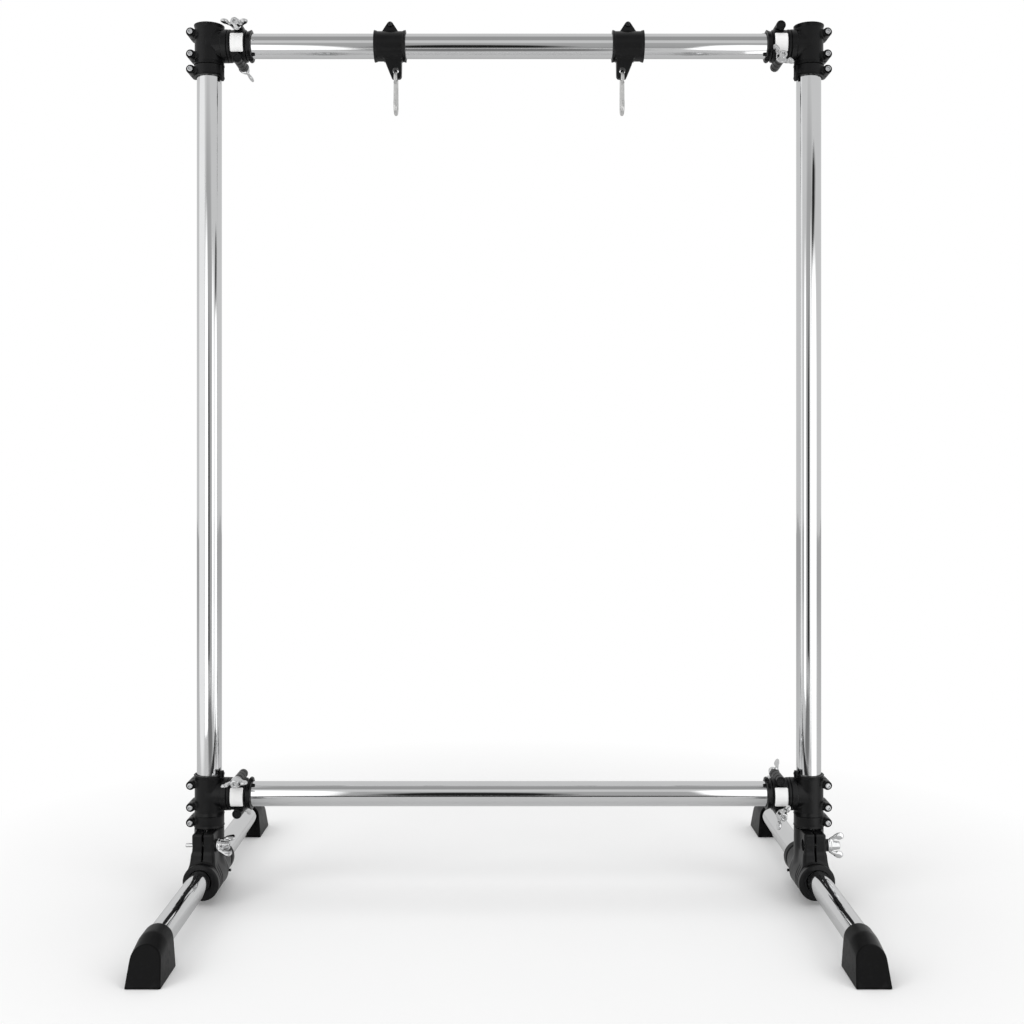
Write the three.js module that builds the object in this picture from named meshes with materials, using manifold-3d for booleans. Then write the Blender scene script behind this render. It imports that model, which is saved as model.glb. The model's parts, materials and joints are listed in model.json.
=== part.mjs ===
// Tubular rack stand that hangs a gong from two sliding hangers, with clamped crossbars and tee legs.
// Millimetres, +Z up, floor at Z = 0, front toward -Y, origin on the floor midway between the uprights.
import * as THREE from 'three';
import { mergeVertices } from 'three/addons/utils/BufferGeometryUtils.js';
import Module from 'manifold-3d';

const wasm = await Module();
wasm.setup();

// Rack tube and the frame that it makes
const tubeRadius = 19.05;
const tubeWall = 1.6;
const uprightSpacing = 924;
const uprightFootHeight = 64;
const topBarHeight = 1304.4;
const bottomLockGap = 1.6;
const barEndInset = 25;

// Legs
const legTubeRadius = 17.5;
const legAxisHeight = 37;
const legSpan = 709;

// Clearances, cuts and facets
const slipGap = 0.3;
const overrun = 2;
const tubeFacets = 20;
const bossFacets = 10;
const boltFacets = 8;
const nutFacets = 6;

// Tee clamps: the sleeve on the upright and the arm on the crossbar
const sleeveRadius = 22.5;
const sleeveHalfHeight = 31;
const neckRadius = 25;
const neckStart = 21;
const neckEnd = 30;
const shellRadius = 24.2;
const shellEnd = 58.5;
const barStop = 23.5;
const partingGap = 0.6;
const armBoltAlong = 47.5;
const armBoltHeight = 25;
const armBossRadius = 7.2;
const armBossReach = 25;
const armWebWidth = 8;
const keyWidth = 7;
const keyDepth = 2;
const keyRoot = 4.5;
const keyReach = 6.5;
const keyAngle = -20;

// Pinch lugs on the sleeves and on the lock rings
const lugOffset = 25;
const lugHeight = 16.8;
const lugRadius = 6.8;
const lugLength = 36;
const lugWebWidth = 9;
const lugWebInset = 2;
const pinchSlit = 2;
const ringHeight = 17.5;
const ringRadius = 23;

// Lock rings on the crossbars
const barRingWidth = 8;
const barRingRadius = 22.5;
const barRingLipRadius = 24.5;
const barRingLipWidth = 2.5;
const barKnobRadius = 3.8;
const barKnobAlong = 8.4;
const barKnobHeight = 24.2;
const barKnobFront = 16;
const barKnobLength = 11;

// Fasteners
const boltRadius = 3;
const boltHeadRadius = 4.6;
const boltHeadHeight = 3;
const nutRadius = 4.4;
const nutHeight = 4;
const wingHubRadius = 8;
const wingHubTopRadius = 6;
const wingHubHeight = 17;
const wingHoleRadius = 2.6;
const wingHoleDepth = 4;
const wingSpan = 41;
const wingThickness = 3.2;
const wingRise = 23;
const wingRoot = 3;

// Hangers on the top bar
const hangerSpacing = 366;
const hangerLength = 48.5;
const hangerWaistRadius = 22.5;
const hangerLipRadius = 24;
const hangerLipWidth = 4;
const hangerEarWidth = 24;
const hangerEarRise = 14.5;
const hangerEarTipRadius = 5;
const hangerEarDepth = 12;
const hangerLugDepth = 8;
const hangerLugBottom = 50.6;
const hangerLugOuter = 8.5;
const hangerLugOuterBottom = 2.9;
const hangerLugInner = 17.6;
const hangerLugChamfer = 2;
const hangerScrewRadius = 2;
const hangerScrewHeadRadius = 3.4;
const hangerScrewHeadHeight = 1.6;
const eyeOffset = 8.7;
const eyeDrop = 39.3;
const eyeRadius = 4.8;

// Spring hooks
const hookWireRadius = 2.8;
const hookTopBend = 10;
const hookBottomBend = 13;
const hookLength = 70.3;
const hookWireFacets = 8;
const hookSteps = 28;
const gateRadius = 2.6;
const gatePivotDrop = 9;
const gateForkReach = 2.6;
const tongueThickness = 2.2;
const tongueWidth = 4.4;
const gatePinRadius = 1;
const noseRise = 3;
const wireEndDrop = 4.4;

// Leg brackets
const saddleRadius = 22;
const saddleLength = 124;
const collarRadius = 25.5;
const collarWidth = 8;
const lobeRadius = 24;
const lobeOffset = 4;
const lobeDrop = 5;
const lobeEnd = 6;
const lobeTaper = 36;
const socketRadius = 22.5;
const socketTop = 102;
const jawWidth = 33;
const jawReach = 43;
const jawFlare = 22;
const jawFlareTop = 72;
const jawFlareReach = 50;
const rearWebWidth = 14;
const rearWebReach = 46;
const rearWebTop = 96;
const rearWebLow = 60;
const jawSlit = 2.4;
const jawSlitFloor = 62;
const legBoltReach = 33;
const legBoltHeight = 83;
const legBoltRecess = 8.4;
const legBoltRecessDepth = 3;
const legBoltTail = 11;
const legBoltBossRadius = 9;
const legBoltBossHeight = 3.5;
const legWingTurns = { left: -57, right: 8 };
const washerThickness = 1.6;
const washerRadius = 9.5;

// Rubber feet
const footLength = 75;
const footBottomWidth = 46;
const footShoulderWidth = 41;
const footTop = 57.5;
const footNose = 50;
const footCrest = 45;
const footLean = 22;
const footTubeDepth = 30;

// Derived places
const boreRadius = tubeRadius + slipGap;
const boltHoleRadius = boltRadius + slipGap;
const uprightX = uprightSpacing / 2;
const uprightTopHeight = topBarHeight + sleeveHalfHeight;
const ringCentre = -(sleeveHalfHeight + slipGap + ringHeight / 2);
const bottomBarHeight = socketTop + bottomLockGap + ringHeight + slipGap + sleeveHalfHeight;
const hangerX = hangerSpacing / 2;
const hookDrop = hookLength - hookTopBend - hookBottomBend - 2 * hookWireRadius;
const hookCentreDrop = eyeDrop + hookTopBend;
const legTubeLength = legSpan - 2 * (footLength - footTubeDepth + slipGap);

// Materials
function chrome() {
  return new THREE.MeshStandardMaterial({ color: 0xd4d6d8, roughness: 0.08, metalness: 1 });
}

function nylon() {
  return new THREE.MeshStandardMaterial({ color: 0x17181a, roughness: 0.55, metalness: 0 });
}

function footRubber() {
  return new THREE.MeshStandardMaterial({ color: 0x111111, roughness: 0.85, metalness: 0 });
}

function boltSteel() {
  return new THREE.MeshStandardMaterial({ color: 0xb8babc, roughness: 0.25, metalness: 1 });
}

// Solid helpers
function toSolid(geometry) {
  const plain = geometry.clone();
  for (const name of Object.keys(plain.attributes)) {
    if (name !== 'position') plain.deleteAttribute(name);
  }
  const merged = mergeVertices(plain, 1e-5);
  const source = merged.index.array;
  const corners = [];
  for (let i = 0; i < source.length; i += 3) {
    const [a, b, c] = [source[i], source[i + 1], source[i + 2]];
    if (a !== b && b !== c && c !== a) corners.push(a, b, c);
  }
  const vertProperties = new Float32Array(merged.attributes.position.array);
  return new wasm.Manifold(new wasm.Mesh({ numProp: 3, vertProperties, triVerts: new Uint32Array(corners) }));
}

function toGeometry(solid) {
  const { vertProperties, triVerts } = solid.getMesh();
  const geometry = new THREE.BufferGeometry();
  geometry.setAttribute('position', new THREE.BufferAttribute(vertProperties, 3));
  geometry.setIndex(new THREE.BufferAttribute(triVerts, 1));
  geometry.computeVertexNormals();
  return geometry;
}

function join(solids) {
  return solids.reduce((whole, solid) => whole.add(solid));
}

function cut(whole, solids) {
  return solids.reduce((rest, solid) => rest.subtract(solid), whole);
}

function box([x0, x1], [y0, y1], [z0, z1]) {
  const geometry = new THREE.BoxGeometry(x1 - x0, y1 - y0, z1 - z0);
  return toSolid(geometry.translate((x0 + x1) / 2, (y0 + y1) / 2, (z0 + z1) / 2));
}

// A round bar from one place to another along an axis, tapered when a second radius is given
function bar(axis, from, to, radius, [a, b], facets, endRadius = radius) {
  const geometry = new THREE.CylinderGeometry(endRadius, radius, to - from, facets);
  geometry.rotateY(Math.PI / facets);
  geometry.translate(0, (from + to) / 2, 0);
  if (axis === 'x') geometry.rotateZ(-Math.PI / 2).translate(0, a, b);
  if (axis === 'y') geometry.translate(a, 0, b);
  if (axis === 'z') geometry.rotateX(Math.PI / 2).translate(a, b, 0);
  return toSolid(geometry);
}

function outline(points) {
  const shape = new THREE.Shape();
  points.forEach(([x, y], i) => (i ? shape.lineTo(x, y) : shape.moveTo(x, y)));
  shape.closePath();
  return shape;
}

// A plate whose outline lies in the XZ plane, from y0 to y1
function plateXZ(points, [y0, y1]) {
  const geometry = new THREE.ExtrudeGeometry(outline(points), { depth: y1 - y0, bevelEnabled: false });
  geometry.rotateX(Math.PI / 2).translate(0, y1, 0);
  return toSolid(geometry);
}

// A plate whose outline lies in the YZ plane, from x0 to x1
function plateYZ(points, [x0, x1]) {
  const geometry = new THREE.ExtrudeGeometry(outline(points), { depth: x1 - x0, bevelEnabled: false });
  geometry.rotateY(Math.PI / 2).rotateX(Math.PI / 2).translate(x0, 0, 0);
  return toSolid(geometry);
}

function arc(centre, radius, from, to, steps) {
  return Array.from({ length: steps + 1 }, (_, i) => {
    const angle = THREE.MathUtils.degToRad(from + ((to - from) * i) / steps);
    return [centre[0] + radius * Math.cos(angle), centre[1] + radius * Math.sin(angle)];
  });
}

function turned(solid, turn) {
  const geometry = toGeometry(solid);
  turn(geometry);
  return toSolid(geometry);
}

// The same piece made for the other side, reflected in X
function oppositeHand(solid) {
  const geometry = toGeometry(solid).scale(-1, 1, 1);
  const corners = geometry.index.array;
  for (let i = 0; i < corners.length; i += 3) {
    [corners[i], corners[i + 1]] = [corners[i + 1], corners[i]];
  }
  return toSolid(geometry);
}

// Tubes
function tube(length, radius) {
  const outer = bar('z', 0, length, radius, [0, 0], tubeFacets);
  return cut(outer, [bar('z', -overrun, length + overrun, radius - tubeWall, [0, 0], tubeFacets)]);
}

// A pinch lug along Y with the web that carries it, at a height on a sleeve's outer side
function pinchLug(height) {
  const half = lugLength / 2;
  const webHalf = half - lugWebInset;
  const webHeights = [height - lugWebWidth / 2, height + lugWebWidth / 2];
  return [
    bar('y', -half, half, lugRadius, [-lugOffset, height], bossFacets),
    box([-lugOffset, -sleeveRadius / 2], [-webHalf, webHalf], webHeights),
  ];
}

// The slit through the lugs and the bolt holes across it
function pinchCuts(heights, [low, high]) {
  const depth = [-lugOffset - lugRadius - overrun, overrun - tubeRadius];
  const slit = box(depth, [-pinchSlit / 2, pinchSlit / 2], [low, high]);
  const reach = lugLength / 2 + overrun;
  return [slit, ...heights.map((h) => bar('y', -reach, reach, boltHoleRadius, [-lugOffset, h], boltFacets))];
}

// A key block on the inner front side of a sleeve, for a lock ring to engage
function keyBlock([low, high]) {
  const depth = [sleeveRadius - overrun, sleeveRadius + keyDepth];
  const solid = box(depth, [-keyWidth / 2, keyWidth / 2], [low, high]);
  return turned(solid, (g) => g.rotateZ(THREE.MathUtils.degToRad(keyAngle)));
}

// One side's pair of arm bosses along Y; side is -1 at the front and 1 at the back
function armBosses(side) {
  const start = (side * partingGap) / 2;
  const end = side * armBossReach;
  const span = [Math.min(start, end), Math.max(start, end)];
  return [-1, 1].flatMap((up) => {
    const z = up * armBoltHeight;
    const webEnd = side * (shellRadius - overrun);
    const webSpan = [Math.min(start, webEnd), Math.max(start, webEnd)];
    const webHeights = [Math.min(z, up * tubeRadius), Math.max(z, up * tubeRadius)];
    const boss = bar('y', ...span, armBossRadius, [armBoltAlong, z], bossFacets);
    return [boss, box([armBoltAlong - armWebWidth / 2, armBoltAlong + armWebWidth / 2], webSpan, webHeights)];
  });
}

// The crossbar's seat in the arm and the arm bolts' holes
function armCuts() {
  const reach = armBossReach + overrun;
  const seat = bar('x', barStop, shellEnd + overrun, boreRadius, [0, 0], tubeFacets);
  const places = [-armBoltHeight, armBoltHeight].map((height) => [armBoltAlong, height]);
  return [seat, ...places.map((at) => bar('y', -reach, reach, boltHoleRadius, at, boltFacets))];
}

// Tee body with its arm toward +X, about the crossing of the two tube axes
function teeBody(withKey) {
  const shell = bar('x', neckEnd - overrun, shellEnd, shellRadius, [0, 0], tubeFacets);
  const far = neckRadius + overrun;
  const frontHalf = box([neckEnd, shellEnd + overrun], [-far, partingGap / 2], [-far, far]);
  const backShell = join([shell, ...armBosses(1)]).subtract(frontHalf);
  const pieces = [
    bar('z', -sleeveHalfHeight, sleeveHalfHeight, sleeveRadius, [0, 0], tubeFacets),
    bar('x', 0, neckEnd, sleeveRadius, [0, 0], tubeFacets),
    bar('x', neckStart, neckEnd, neckRadius, [0, 0], tubeFacets),
    backShell,
    ...[-1, 1].flatMap((up) => pinchLug(up * lugHeight)),
  ];
  if (withKey) pieces.push(keyBlock([sleeveHalfHeight - keyRoot, sleeveHalfHeight + keyReach]));
  const end = sleeveHalfHeight + overrun;
  const bore = bar('z', -end, end + keyReach, boreRadius, [0, 0], tubeFacets);
  return cut(join(pieces), [bore, ...armCuts(), ...pinchCuts([-lugHeight, lugHeight], [-end, end])]);
}

// Front half shell that closes the arm over the crossbar
function teeCover() {
  const shell = bar('x', neckEnd + slipGap, shellEnd, shellRadius, [0, 0], tubeFacets);
  const far = neckRadius + overrun;
  const backHalf = box([neckStart, shellEnd + overrun], [-partingGap / 2, far], [-far, far]);
  return cut(join([shell, ...armBosses(-1)]), [backHalf, ...armCuts()]);
}

// Lock ring under a tee sleeve; the upper pair has a hanging key block
function lockRing(withKey) {
  const half = ringHeight / 2;
  const pieces = [bar('z', -half, half, ringRadius, [0, 0], tubeFacets), ...pinchLug(0)];
  if (withKey) pieces.push(keyBlock([-half - keyReach, half]));
  const bore = bar('z', -half - keyReach - overrun, half + overrun, boreRadius, [0, 0], tubeFacets);
  return cut(join(pieces), [bore, ...pinchCuts([0], [-half - overrun, half + overrun])]);
}

// Lock ring beside a tee arm, along X from its tee side, with a screw lug at the front
function barLockRing(knobUp) {
  const knobEnd = barKnobLength - barKnobFront;
  const knobAt = [barKnobAlong, knobUp * barKnobHeight];
  const pieces = [
    bar('x', 0, barRingWidth, barRingRadius, [0, 0], tubeFacets),
    bar('x', barRingWidth - barRingLipWidth, barRingWidth, barRingLipRadius, [0, 0], tubeFacets),
    bar('y', -barKnobFront, knobEnd, barKnobRadius, knobAt, boltFacets),
  ];
  return cut(join(pieces), [bar('x', -overrun, barRingWidth + overrun, boreRadius, [0, 0], tubeFacets)]);
}

// Pinch bolt along Y, round head at the front and nut at the back
function pinchBolt() {
  const front = -lugLength / 2 - slipGap;
  const back = -front;
  return join([
    bar('y', front - boltHeadHeight, front, boltHeadRadius * 0.75, [0, 0], boltFacets, boltHeadRadius),
    bar('y', front - overrun, back + overrun, boltRadius, [0, 0], boltFacets),
    bar('y', back, back + nutHeight, nutRadius, [0, 0], nutFacets),
  ]);
}

// Wing bolt with its hub standing on Z = 0 and its shank below
function wingBolt(shankLength) {
  const half = wingSpan / 2;
  const wing = [
    [0, wingRoot],
    [wingHubRadius, wingRoot],
    [half * 0.86, wingRise * 0.55],
    [half, wingRise * 0.72],
    [half * 0.95, wingRise * 0.94],
    [half * 0.72, wingRise],
    [wingHubTopRadius, wingHubHeight * 0.8],
    [0, wingHubHeight * 0.7],
  ];
  const thickness = [-wingThickness / 2, wingThickness / 2];
  const mirrored = wing.map(([x, z]) => [-x, z]).reverse();
  const pieces = [
    bar('z', 0, wingHubHeight, wingHubRadius, [0, 0], bossFacets, wingHubTopRadius),
    plateXZ(wing, thickness),
    plateXZ(mirrored, thickness),
    bar('z', -shankLength, overrun, boltRadius, [0, 0], boltFacets),
  ];
  return cut(join(pieces), [
    bar('z', wingHubHeight - wingHoleDepth, wingRise + overrun, wingHoleRadius, [0, 0], boltFacets),
  ]);
}

// Wing bolt of a leg bracket, with a washer under its hub and a tail beyond the far jaw
function legWingBolt(tail) {
  const washer = bar('z', -washerThickness, overrun, washerRadius, [0, 0], bossFacets);
  return washer.add(wingBolt(washerThickness + slipGap + legBoltBossHeight + jawWidth + tail));
}

// Hanger: a split sleeve with a screwed ear on top and an eye lug below, with its eye toward +X
function hangerHalf(side) {
  const half = hangerLength / 2;
  const earTop = hangerWaistRadius + hangerEarRise;
  const earCentre = earTop - hangerEarTipRadius;
  const ear = [
    [-hangerEarWidth / 2, tubeRadius],
    [hangerEarWidth / 2, tubeRadius],
    [hangerEarWidth / 2, hangerWaistRadius],
    ...arc([0, earCentre], hangerEarTipRadius, 30, 150, 6),
    [-hangerEarWidth / 2, hangerWaistRadius],
  ];
  const lug = [
    [-hangerLugOuter, -tubeRadius],
    [-hangerLugOuter, -hangerWaistRadius],
    [hangerLugOuterBottom, -hangerLugBottom],
    [hangerLugInner - hangerLugChamfer, -hangerLugBottom],
    [hangerLugInner, hangerLugChamfer - hangerLugBottom],
    [hangerLugInner, -tubeRadius],
  ];
  const pieces = [
    bar('x', -half, half, hangerWaistRadius, [0, 0], tubeFacets),
    bar('x', -half, hangerLipWidth - half, hangerLipRadius, [0, 0], tubeFacets, hangerWaistRadius),
    bar('x', half - hangerLipWidth, half, hangerWaistRadius, [0, 0], tubeFacets, hangerLipRadius),
    plateXZ(ear, [-hangerEarDepth / 2, hangerEarDepth / 2]),
    plateXZ(lug, [-hangerLugDepth / 2, hangerLugDepth / 2]),
  ];
  const far = hangerLipRadius + overrun;
  const height = [-hangerLugBottom - overrun, earTop + overrun];
  const other = side < 0 ? [-partingGap / 2, far] : [-far, partingGap / 2];
  return cut(join(pieces), [
    bar('x', -half - overrun, half + overrun, boreRadius, [0, 0], tubeFacets),
    bar('y', -far, far, eyeRadius, [eyeOffset, -eyeDrop], bossFacets),
    bar('y', -far, far, hangerScrewRadius + slipGap, [0, earCentre], boltFacets),
    box([-half - overrun, half + overrun], other, height),
  ]);
}

function hangerScrew() {
  const seat = -hangerEarDepth / 2 - slipGap;
  const front = seat - hangerScrewHeadHeight;
  return join([
    bar('y', front, seat, hangerScrewHeadRadius * 0.8, [0, 0], boltFacets, hangerScrewHeadRadius),
    bar('y', front + hangerScrewHeadHeight / 2, -seat, hangerScrewRadius, [0, 0], boltFacets),
  ]);
}

// Spring hook in the YZ plane about the centre of its top bend, with its gate side at the front
function hookGatePivot() {
  return [-hookTopBend, -gatePivotDrop];
}

function hookNose() {
  return [-hookBottomBend, noseRise - hookDrop];
}

function hookBody() {
  const path = [
    hookNose(),
    ...arc([0, -hookDrop], hookBottomBend, 180, 360, 10),
    [(hookTopBend + hookBottomBend) / 2, -hookDrop / 2],
    ...arc([0, 0], hookTopBend, 0, 180, 8),
    [-hookTopBend, -wireEndDrop],
  ];
  const curve = new THREE.CatmullRomCurve3(path.map(([y, z]) => new THREE.Vector3(0, y, z)));
  const section = outline(arc([0, 0], hookWireRadius, 0, 360 - 360 / hookWireFacets, hookWireFacets - 1));
  const sweep = { steps: hookSteps, bevelEnabled: false, extrudePath: curve };
  const wire = toSolid(new THREE.ExtrudeGeometry(section, sweep));
  const [pivotY, pivotZ] = hookGatePivot();
  const halfTongue = tongueThickness / 2;
  const tongue = box([-halfTongue, halfTongue], [pivotY - tongueWidth / 2, pivotY + tongueWidth / 2],
    [pivotZ - tongueWidth / 2, -wireEndDrop + overrun]);
  const pinHole = bar('x', -tongueWidth, tongueWidth, gatePinRadius + slipGap, [pivotY, pivotZ], boltFacets);
  return wire.add(tongue).subtract(pinHole);
}

// Gate about its own pivot, hanging along -Z before it is leaned onto the nose
function hookGate() {
  const [pivotY, pivotZ] = hookGatePivot();
  const [noseY, noseZ] = hookNose();
  const reach = Math.hypot(noseY - pivotY, noseZ - pivotZ) - slipGap;
  const lean = Math.atan2(noseY - pivotY, pivotZ - noseZ);
  const rod = bar('z', -reach, gateForkReach, gateRadius, [0, 0], bossFacets);
  const halfSlot = tongueThickness / 2 + slipGap;
  const slot = box([-halfSlot, halfSlot], [-gateRadius - overrun, gateRadius + overrun],
    [-tongueWidth - slipGap, gateForkReach + overrun]);
  const pin = bar('x', -gateRadius + slipGap, gateRadius - slipGap, gatePinRadius, [0, 0], boltFacets);
  return turned(rod.subtract(slot).add(pin), (g) => g.rotateX(lean));
}

// Leg bracket about the upright axis, with heights above the floor and a lobe below on its inner side
function legBracket(side) {
  const half = saddleLength / 2;
  const lobe = [-side.sign * lobeOffset, legAxisHeight - lobeDrop];
  const jaw = jawWidth / 2;
  const bolt = [-legBoltReach, legBoltHeight];
  const flare = [
    [-jawFlare, legAxisHeight],
    [jawFlare, legAxisHeight],
    [jaw, jawFlareTop],
    [-jaw, jawFlareTop],
  ];
  const web = [
    [0, legAxisHeight],
    [rearWebReach, legAxisHeight],
    [rearWebReach, rearWebLow],
    [socketRadius, rearWebTop],
    [0, rearWebTop],
  ];
  const pieces = [
    bar('y', -half, half, saddleRadius, [0, legAxisHeight], tubeFacets),
    bar('y', -half, collarWidth - half, collarRadius, [0, legAxisHeight], tubeFacets, saddleRadius),
    bar('y', half - collarWidth, half, saddleRadius, [0, legAxisHeight], tubeFacets, collarRadius),
    bar('y', -half, lobeEnd, lobeRadius, lobe, tubeFacets),
    bar('y', lobeEnd, lobeEnd + lobeTaper, lobeRadius, lobe, tubeFacets, legTubeRadius),
    bar('z', legAxisHeight, socketTop, socketRadius, [0, 0], tubeFacets),
    box([-jaw, jaw], [-jawReach, 0], [legAxisHeight, socketTop]),
    plateXZ(flare, [-jawFlareReach, 0]),
    plateYZ(web, [-rearWebWidth / 2, rearWebWidth / 2]),
    bar('x', jaw - overrun, jaw + legBoltBossHeight, legBoltBossRadius, bolt, bossFacets),
  ];
  const boltSpan = jaw + legBoltBossHeight + overrun;
  const top = socketTop + overrun;
  const slitDepth = [-jawReach - overrun, overrun - tubeRadius];
  return cut(join(pieces), [
    bar('z', uprightFootHeight - slipGap, top, boreRadius, [0, 0], tubeFacets),
    bar('y', -half - overrun, half + overrun, legTubeRadius + slipGap, [0, legAxisHeight], tubeFacets),
    box([-jawSlit / 2, jawSlit / 2], slitDepth, [jawSlitFloor, top]),
    bar('x', -boltSpan, boltSpan, boltHoleRadius, bolt, boltFacets),
    bar('x', -boltSpan, legBoltRecessDepth - jaw, legBoltRecess, bolt, bossFacets),
  ]);
}

// Rubber foot on the end of a leg tube, its flat sole on Z = 0 and its tip at Y = 0
function legFoot() {
  const topRadius = footTop - legAxisHeight;
  const section = [
    [-footBottomWidth / 2, 0],
    [footBottomWidth / 2, 0],
    [footShoulderWidth / 2, legAxisHeight],
    ...arc([0, legAxisHeight], topRadius, 15, 165, 10),
    [-footShoulderWidth / 2, legAxisHeight],
  ];
  const lean = [
    [-overrun, -overrun],
    [0, 0],
    [(footLean * footNose) / footTop, footNose],
    [footCrest, footTop],
    [footCrest, footTop + overrun],
    [-overrun, footTop + overrun],
  ];
  const tubeSocket = legTubeRadius + slipGap;
  return cut(plateXZ(section, [0, footLength]), [
    plateYZ(lean, [-footBottomWidth, footBottomWidth]),
    bar('y', footLength - footTubeDepth, footLength + overrun, tubeSocket, [0, legAxisHeight], tubeFacets),
  ]);
}

// Assembly
const stand = new THREE.Group();

function place(parent, name, solid, material, position = [0, 0, 0], rotation = [0, 0, 0]) {
  const mesh = new THREE.Mesh(toGeometry(solid), material);
  mesh.name = name;
  mesh.position.set(...position);
  mesh.rotation.set(...rotation);
  parent.add(mesh);
}

function group(parent, position, turn = 0) {
  const holder = new THREE.Group();
  holder.position.set(...position);
  holder.rotation.z = turn;
  parent.add(holder);
  return holder;
}

const sides = [
  { name: 'left', sign: -1, hand: (solid) => solid },
  { name: 'right', sign: 1, hand: oppositeHand },
];
const levels = [
  { name: 'top', height: topBarHeight, atTop: true },
  { name: 'bottom', height: bottomBarHeight, atTop: false },
];

// Rest angles of the wing bolts about their own axes, in degrees, as they happen to be left
const wingTurns = {
  top_left: { front: 0, back: 55 },
  top_right: { front: -42, back: 20 },
  bottom_left: { front: 8, back: 70 },
  bottom_right: { front: 62, back: 118 },
};

function addUprights() {
  const length = uprightTopHeight - uprightFootHeight;
  for (const side of sides) {
    const foot = [side.sign * uprightX, 0, uprightFootHeight];
    place(stand, `upright_${side.name}`, tube(length, tubeRadius), chrome(), foot);
  }
}

function addCrossbar(level) {
  const length = uprightSpacing - 2 * barEndInset;
  const end = [-length / 2, 0, level.height];
  place(stand, `crossbar_${level.name}`, tube(length, tubeRadius), chrome(), end, [0, Math.PI / 2, 0]);
}

// The upper arm bolt has its wings at the front on the left tees and at the back on the right ones
function addArmBolts(holder, side, level) {
  const turns = wingTurns[`${level.name}_${side.name}`];
  for (const up of [1, -1]) {
    const toFront = up * side.sign < 0;
    const face = toFront ? 'front' : 'back';
    const y = (toFront ? -1 : 1) * (armBossReach + slipGap);
    const turn = THREE.MathUtils.degToRad(turns[face]);
    const solid = turned(wingBolt(2 * armBossReach - slipGap), (g) => {
      g.rotateZ(turn);
      g.rotateX(((toFront ? 1 : -1) * Math.PI) / 2);
    });
    place(holder, `arm_wing_bolt_${level.name}_${side.name}_${face}`, solid, chrome(),
      [-side.sign * armBoltAlong, y, up * armBoltHeight]);
  }
}

function addTee(side, level) {
  const holder = group(stand, [side.sign * uprightX, 0, level.height]);
  const label = `${level.name}_${side.name}`;
  place(holder, `tee_clamp_${label}`, side.hand(teeBody(!level.atTop)), nylon());
  place(holder, `tee_cover_${label}`, side.hand(teeCover()), nylon());
  place(holder, `upright_lock_${label}`, side.hand(lockRing(level.atTop)), nylon(), [0, 0, ringCentre]);
  const lugX = side.sign * lugOffset;
  place(holder, `sleeve_bolt_${label}_upper`, pinchBolt(), boltSteel(), [lugX, 0, lugHeight]);
  place(holder, `sleeve_bolt_${label}_lower`, pinchBolt(), boltSteel(), [lugX, 0, -lugHeight]);
  place(holder, `lock_bolt_${label}`, pinchBolt(), boltSteel(), [lugX, 0, ringCentre]);
  const knobUp = level.atTop ? -1 : 1;
  place(holder, `bar_lock_${label}`, side.hand(barLockRing(knobUp)), nylon(),
    [-side.sign * (shellEnd + slipGap), 0, 0]);
  addArmBolts(holder, side, level);
}

function addHanger(side) {
  const holder = group(stand, [side.sign * hangerX, 0, topBarHeight]);
  place(holder, `hanger_front_${side.name}`, side.hand(hangerHalf(-1)), nylon());
  place(holder, `hanger_back_${side.name}`, side.hand(hangerHalf(1)), nylon());
  const screwHeight = hangerWaistRadius + hangerEarRise - hangerEarTipRadius;
  place(holder, `hanger_screw_${side.name}`, hangerScrew(), boltSteel(), [0, 0, screwHeight]);
  const eyeX = -side.sign * eyeOffset;
  const [pivotY, pivotZ] = hookGatePivot();
  place(holder, `hook_${side.name}`, hookBody(), chrome(), [eyeX, 0, -hookCentreDrop]);
  place(holder, `hook_gate_${side.name}`, hookGate(), chrome(), [eyeX, pivotY, pivotZ - hookCentreDrop]);
}

function addLeg(side) {
  const holder = group(stand, [side.sign * uprightX, 0, 0]);
  place(holder, `leg_bracket_${side.name}`, legBracket(side), nylon());
  const legTube = tube(legTubeLength, legTubeRadius);
  const tubeEnd = [0, legTubeLength / 2, legAxisHeight];
  place(holder, `leg_tube_${side.name}`, legTube, chrome(), tubeEnd, [Math.PI / 2, 0, 0]);
  place(holder, `foot_${side.name}_front`, legFoot(), footRubber(), [0, -legSpan / 2, 0]);
  place(holder, `foot_${side.name}_back`, legFoot(), footRubber(), [0, legSpan / 2, 0], [0, 0, Math.PI]);
  const tail = side.sign < 0 ? legBoltTail : -legBoltRecessDepth;
  const solid = turned(legWingBolt(tail), (g) => {
    g.rotateZ(THREE.MathUtils.degToRad(legWingTurns[side.name]));
    g.rotateY(Math.PI / 2);
  });
  const hubX = jawWidth / 2 + legBoltBossHeight + slipGap + washerThickness;
  place(holder, `leg_wing_bolt_${side.name}`, solid, chrome(), [hubX, -legBoltReach, legBoltHeight]);
}

addUprights();
for (const level of levels) {
  addCrossbar(level);
  for (const side of sides) addTee(side, level);
}
for (const side of sides) {
  addHanger(side);
  addLeg(side);
}

export default stand;
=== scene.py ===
"""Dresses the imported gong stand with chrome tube, nylon clamps, cast wing bolts, hooks and rubber feet."""

import json
import math

import bpy
import numpy as np
import openvdb
from bpy.props import FloatProperty, FloatVectorProperty, PointerProperty
from bpy.types import Operator, Panel, PropertyGroup
from mathutils import Matrix, Vector

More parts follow.
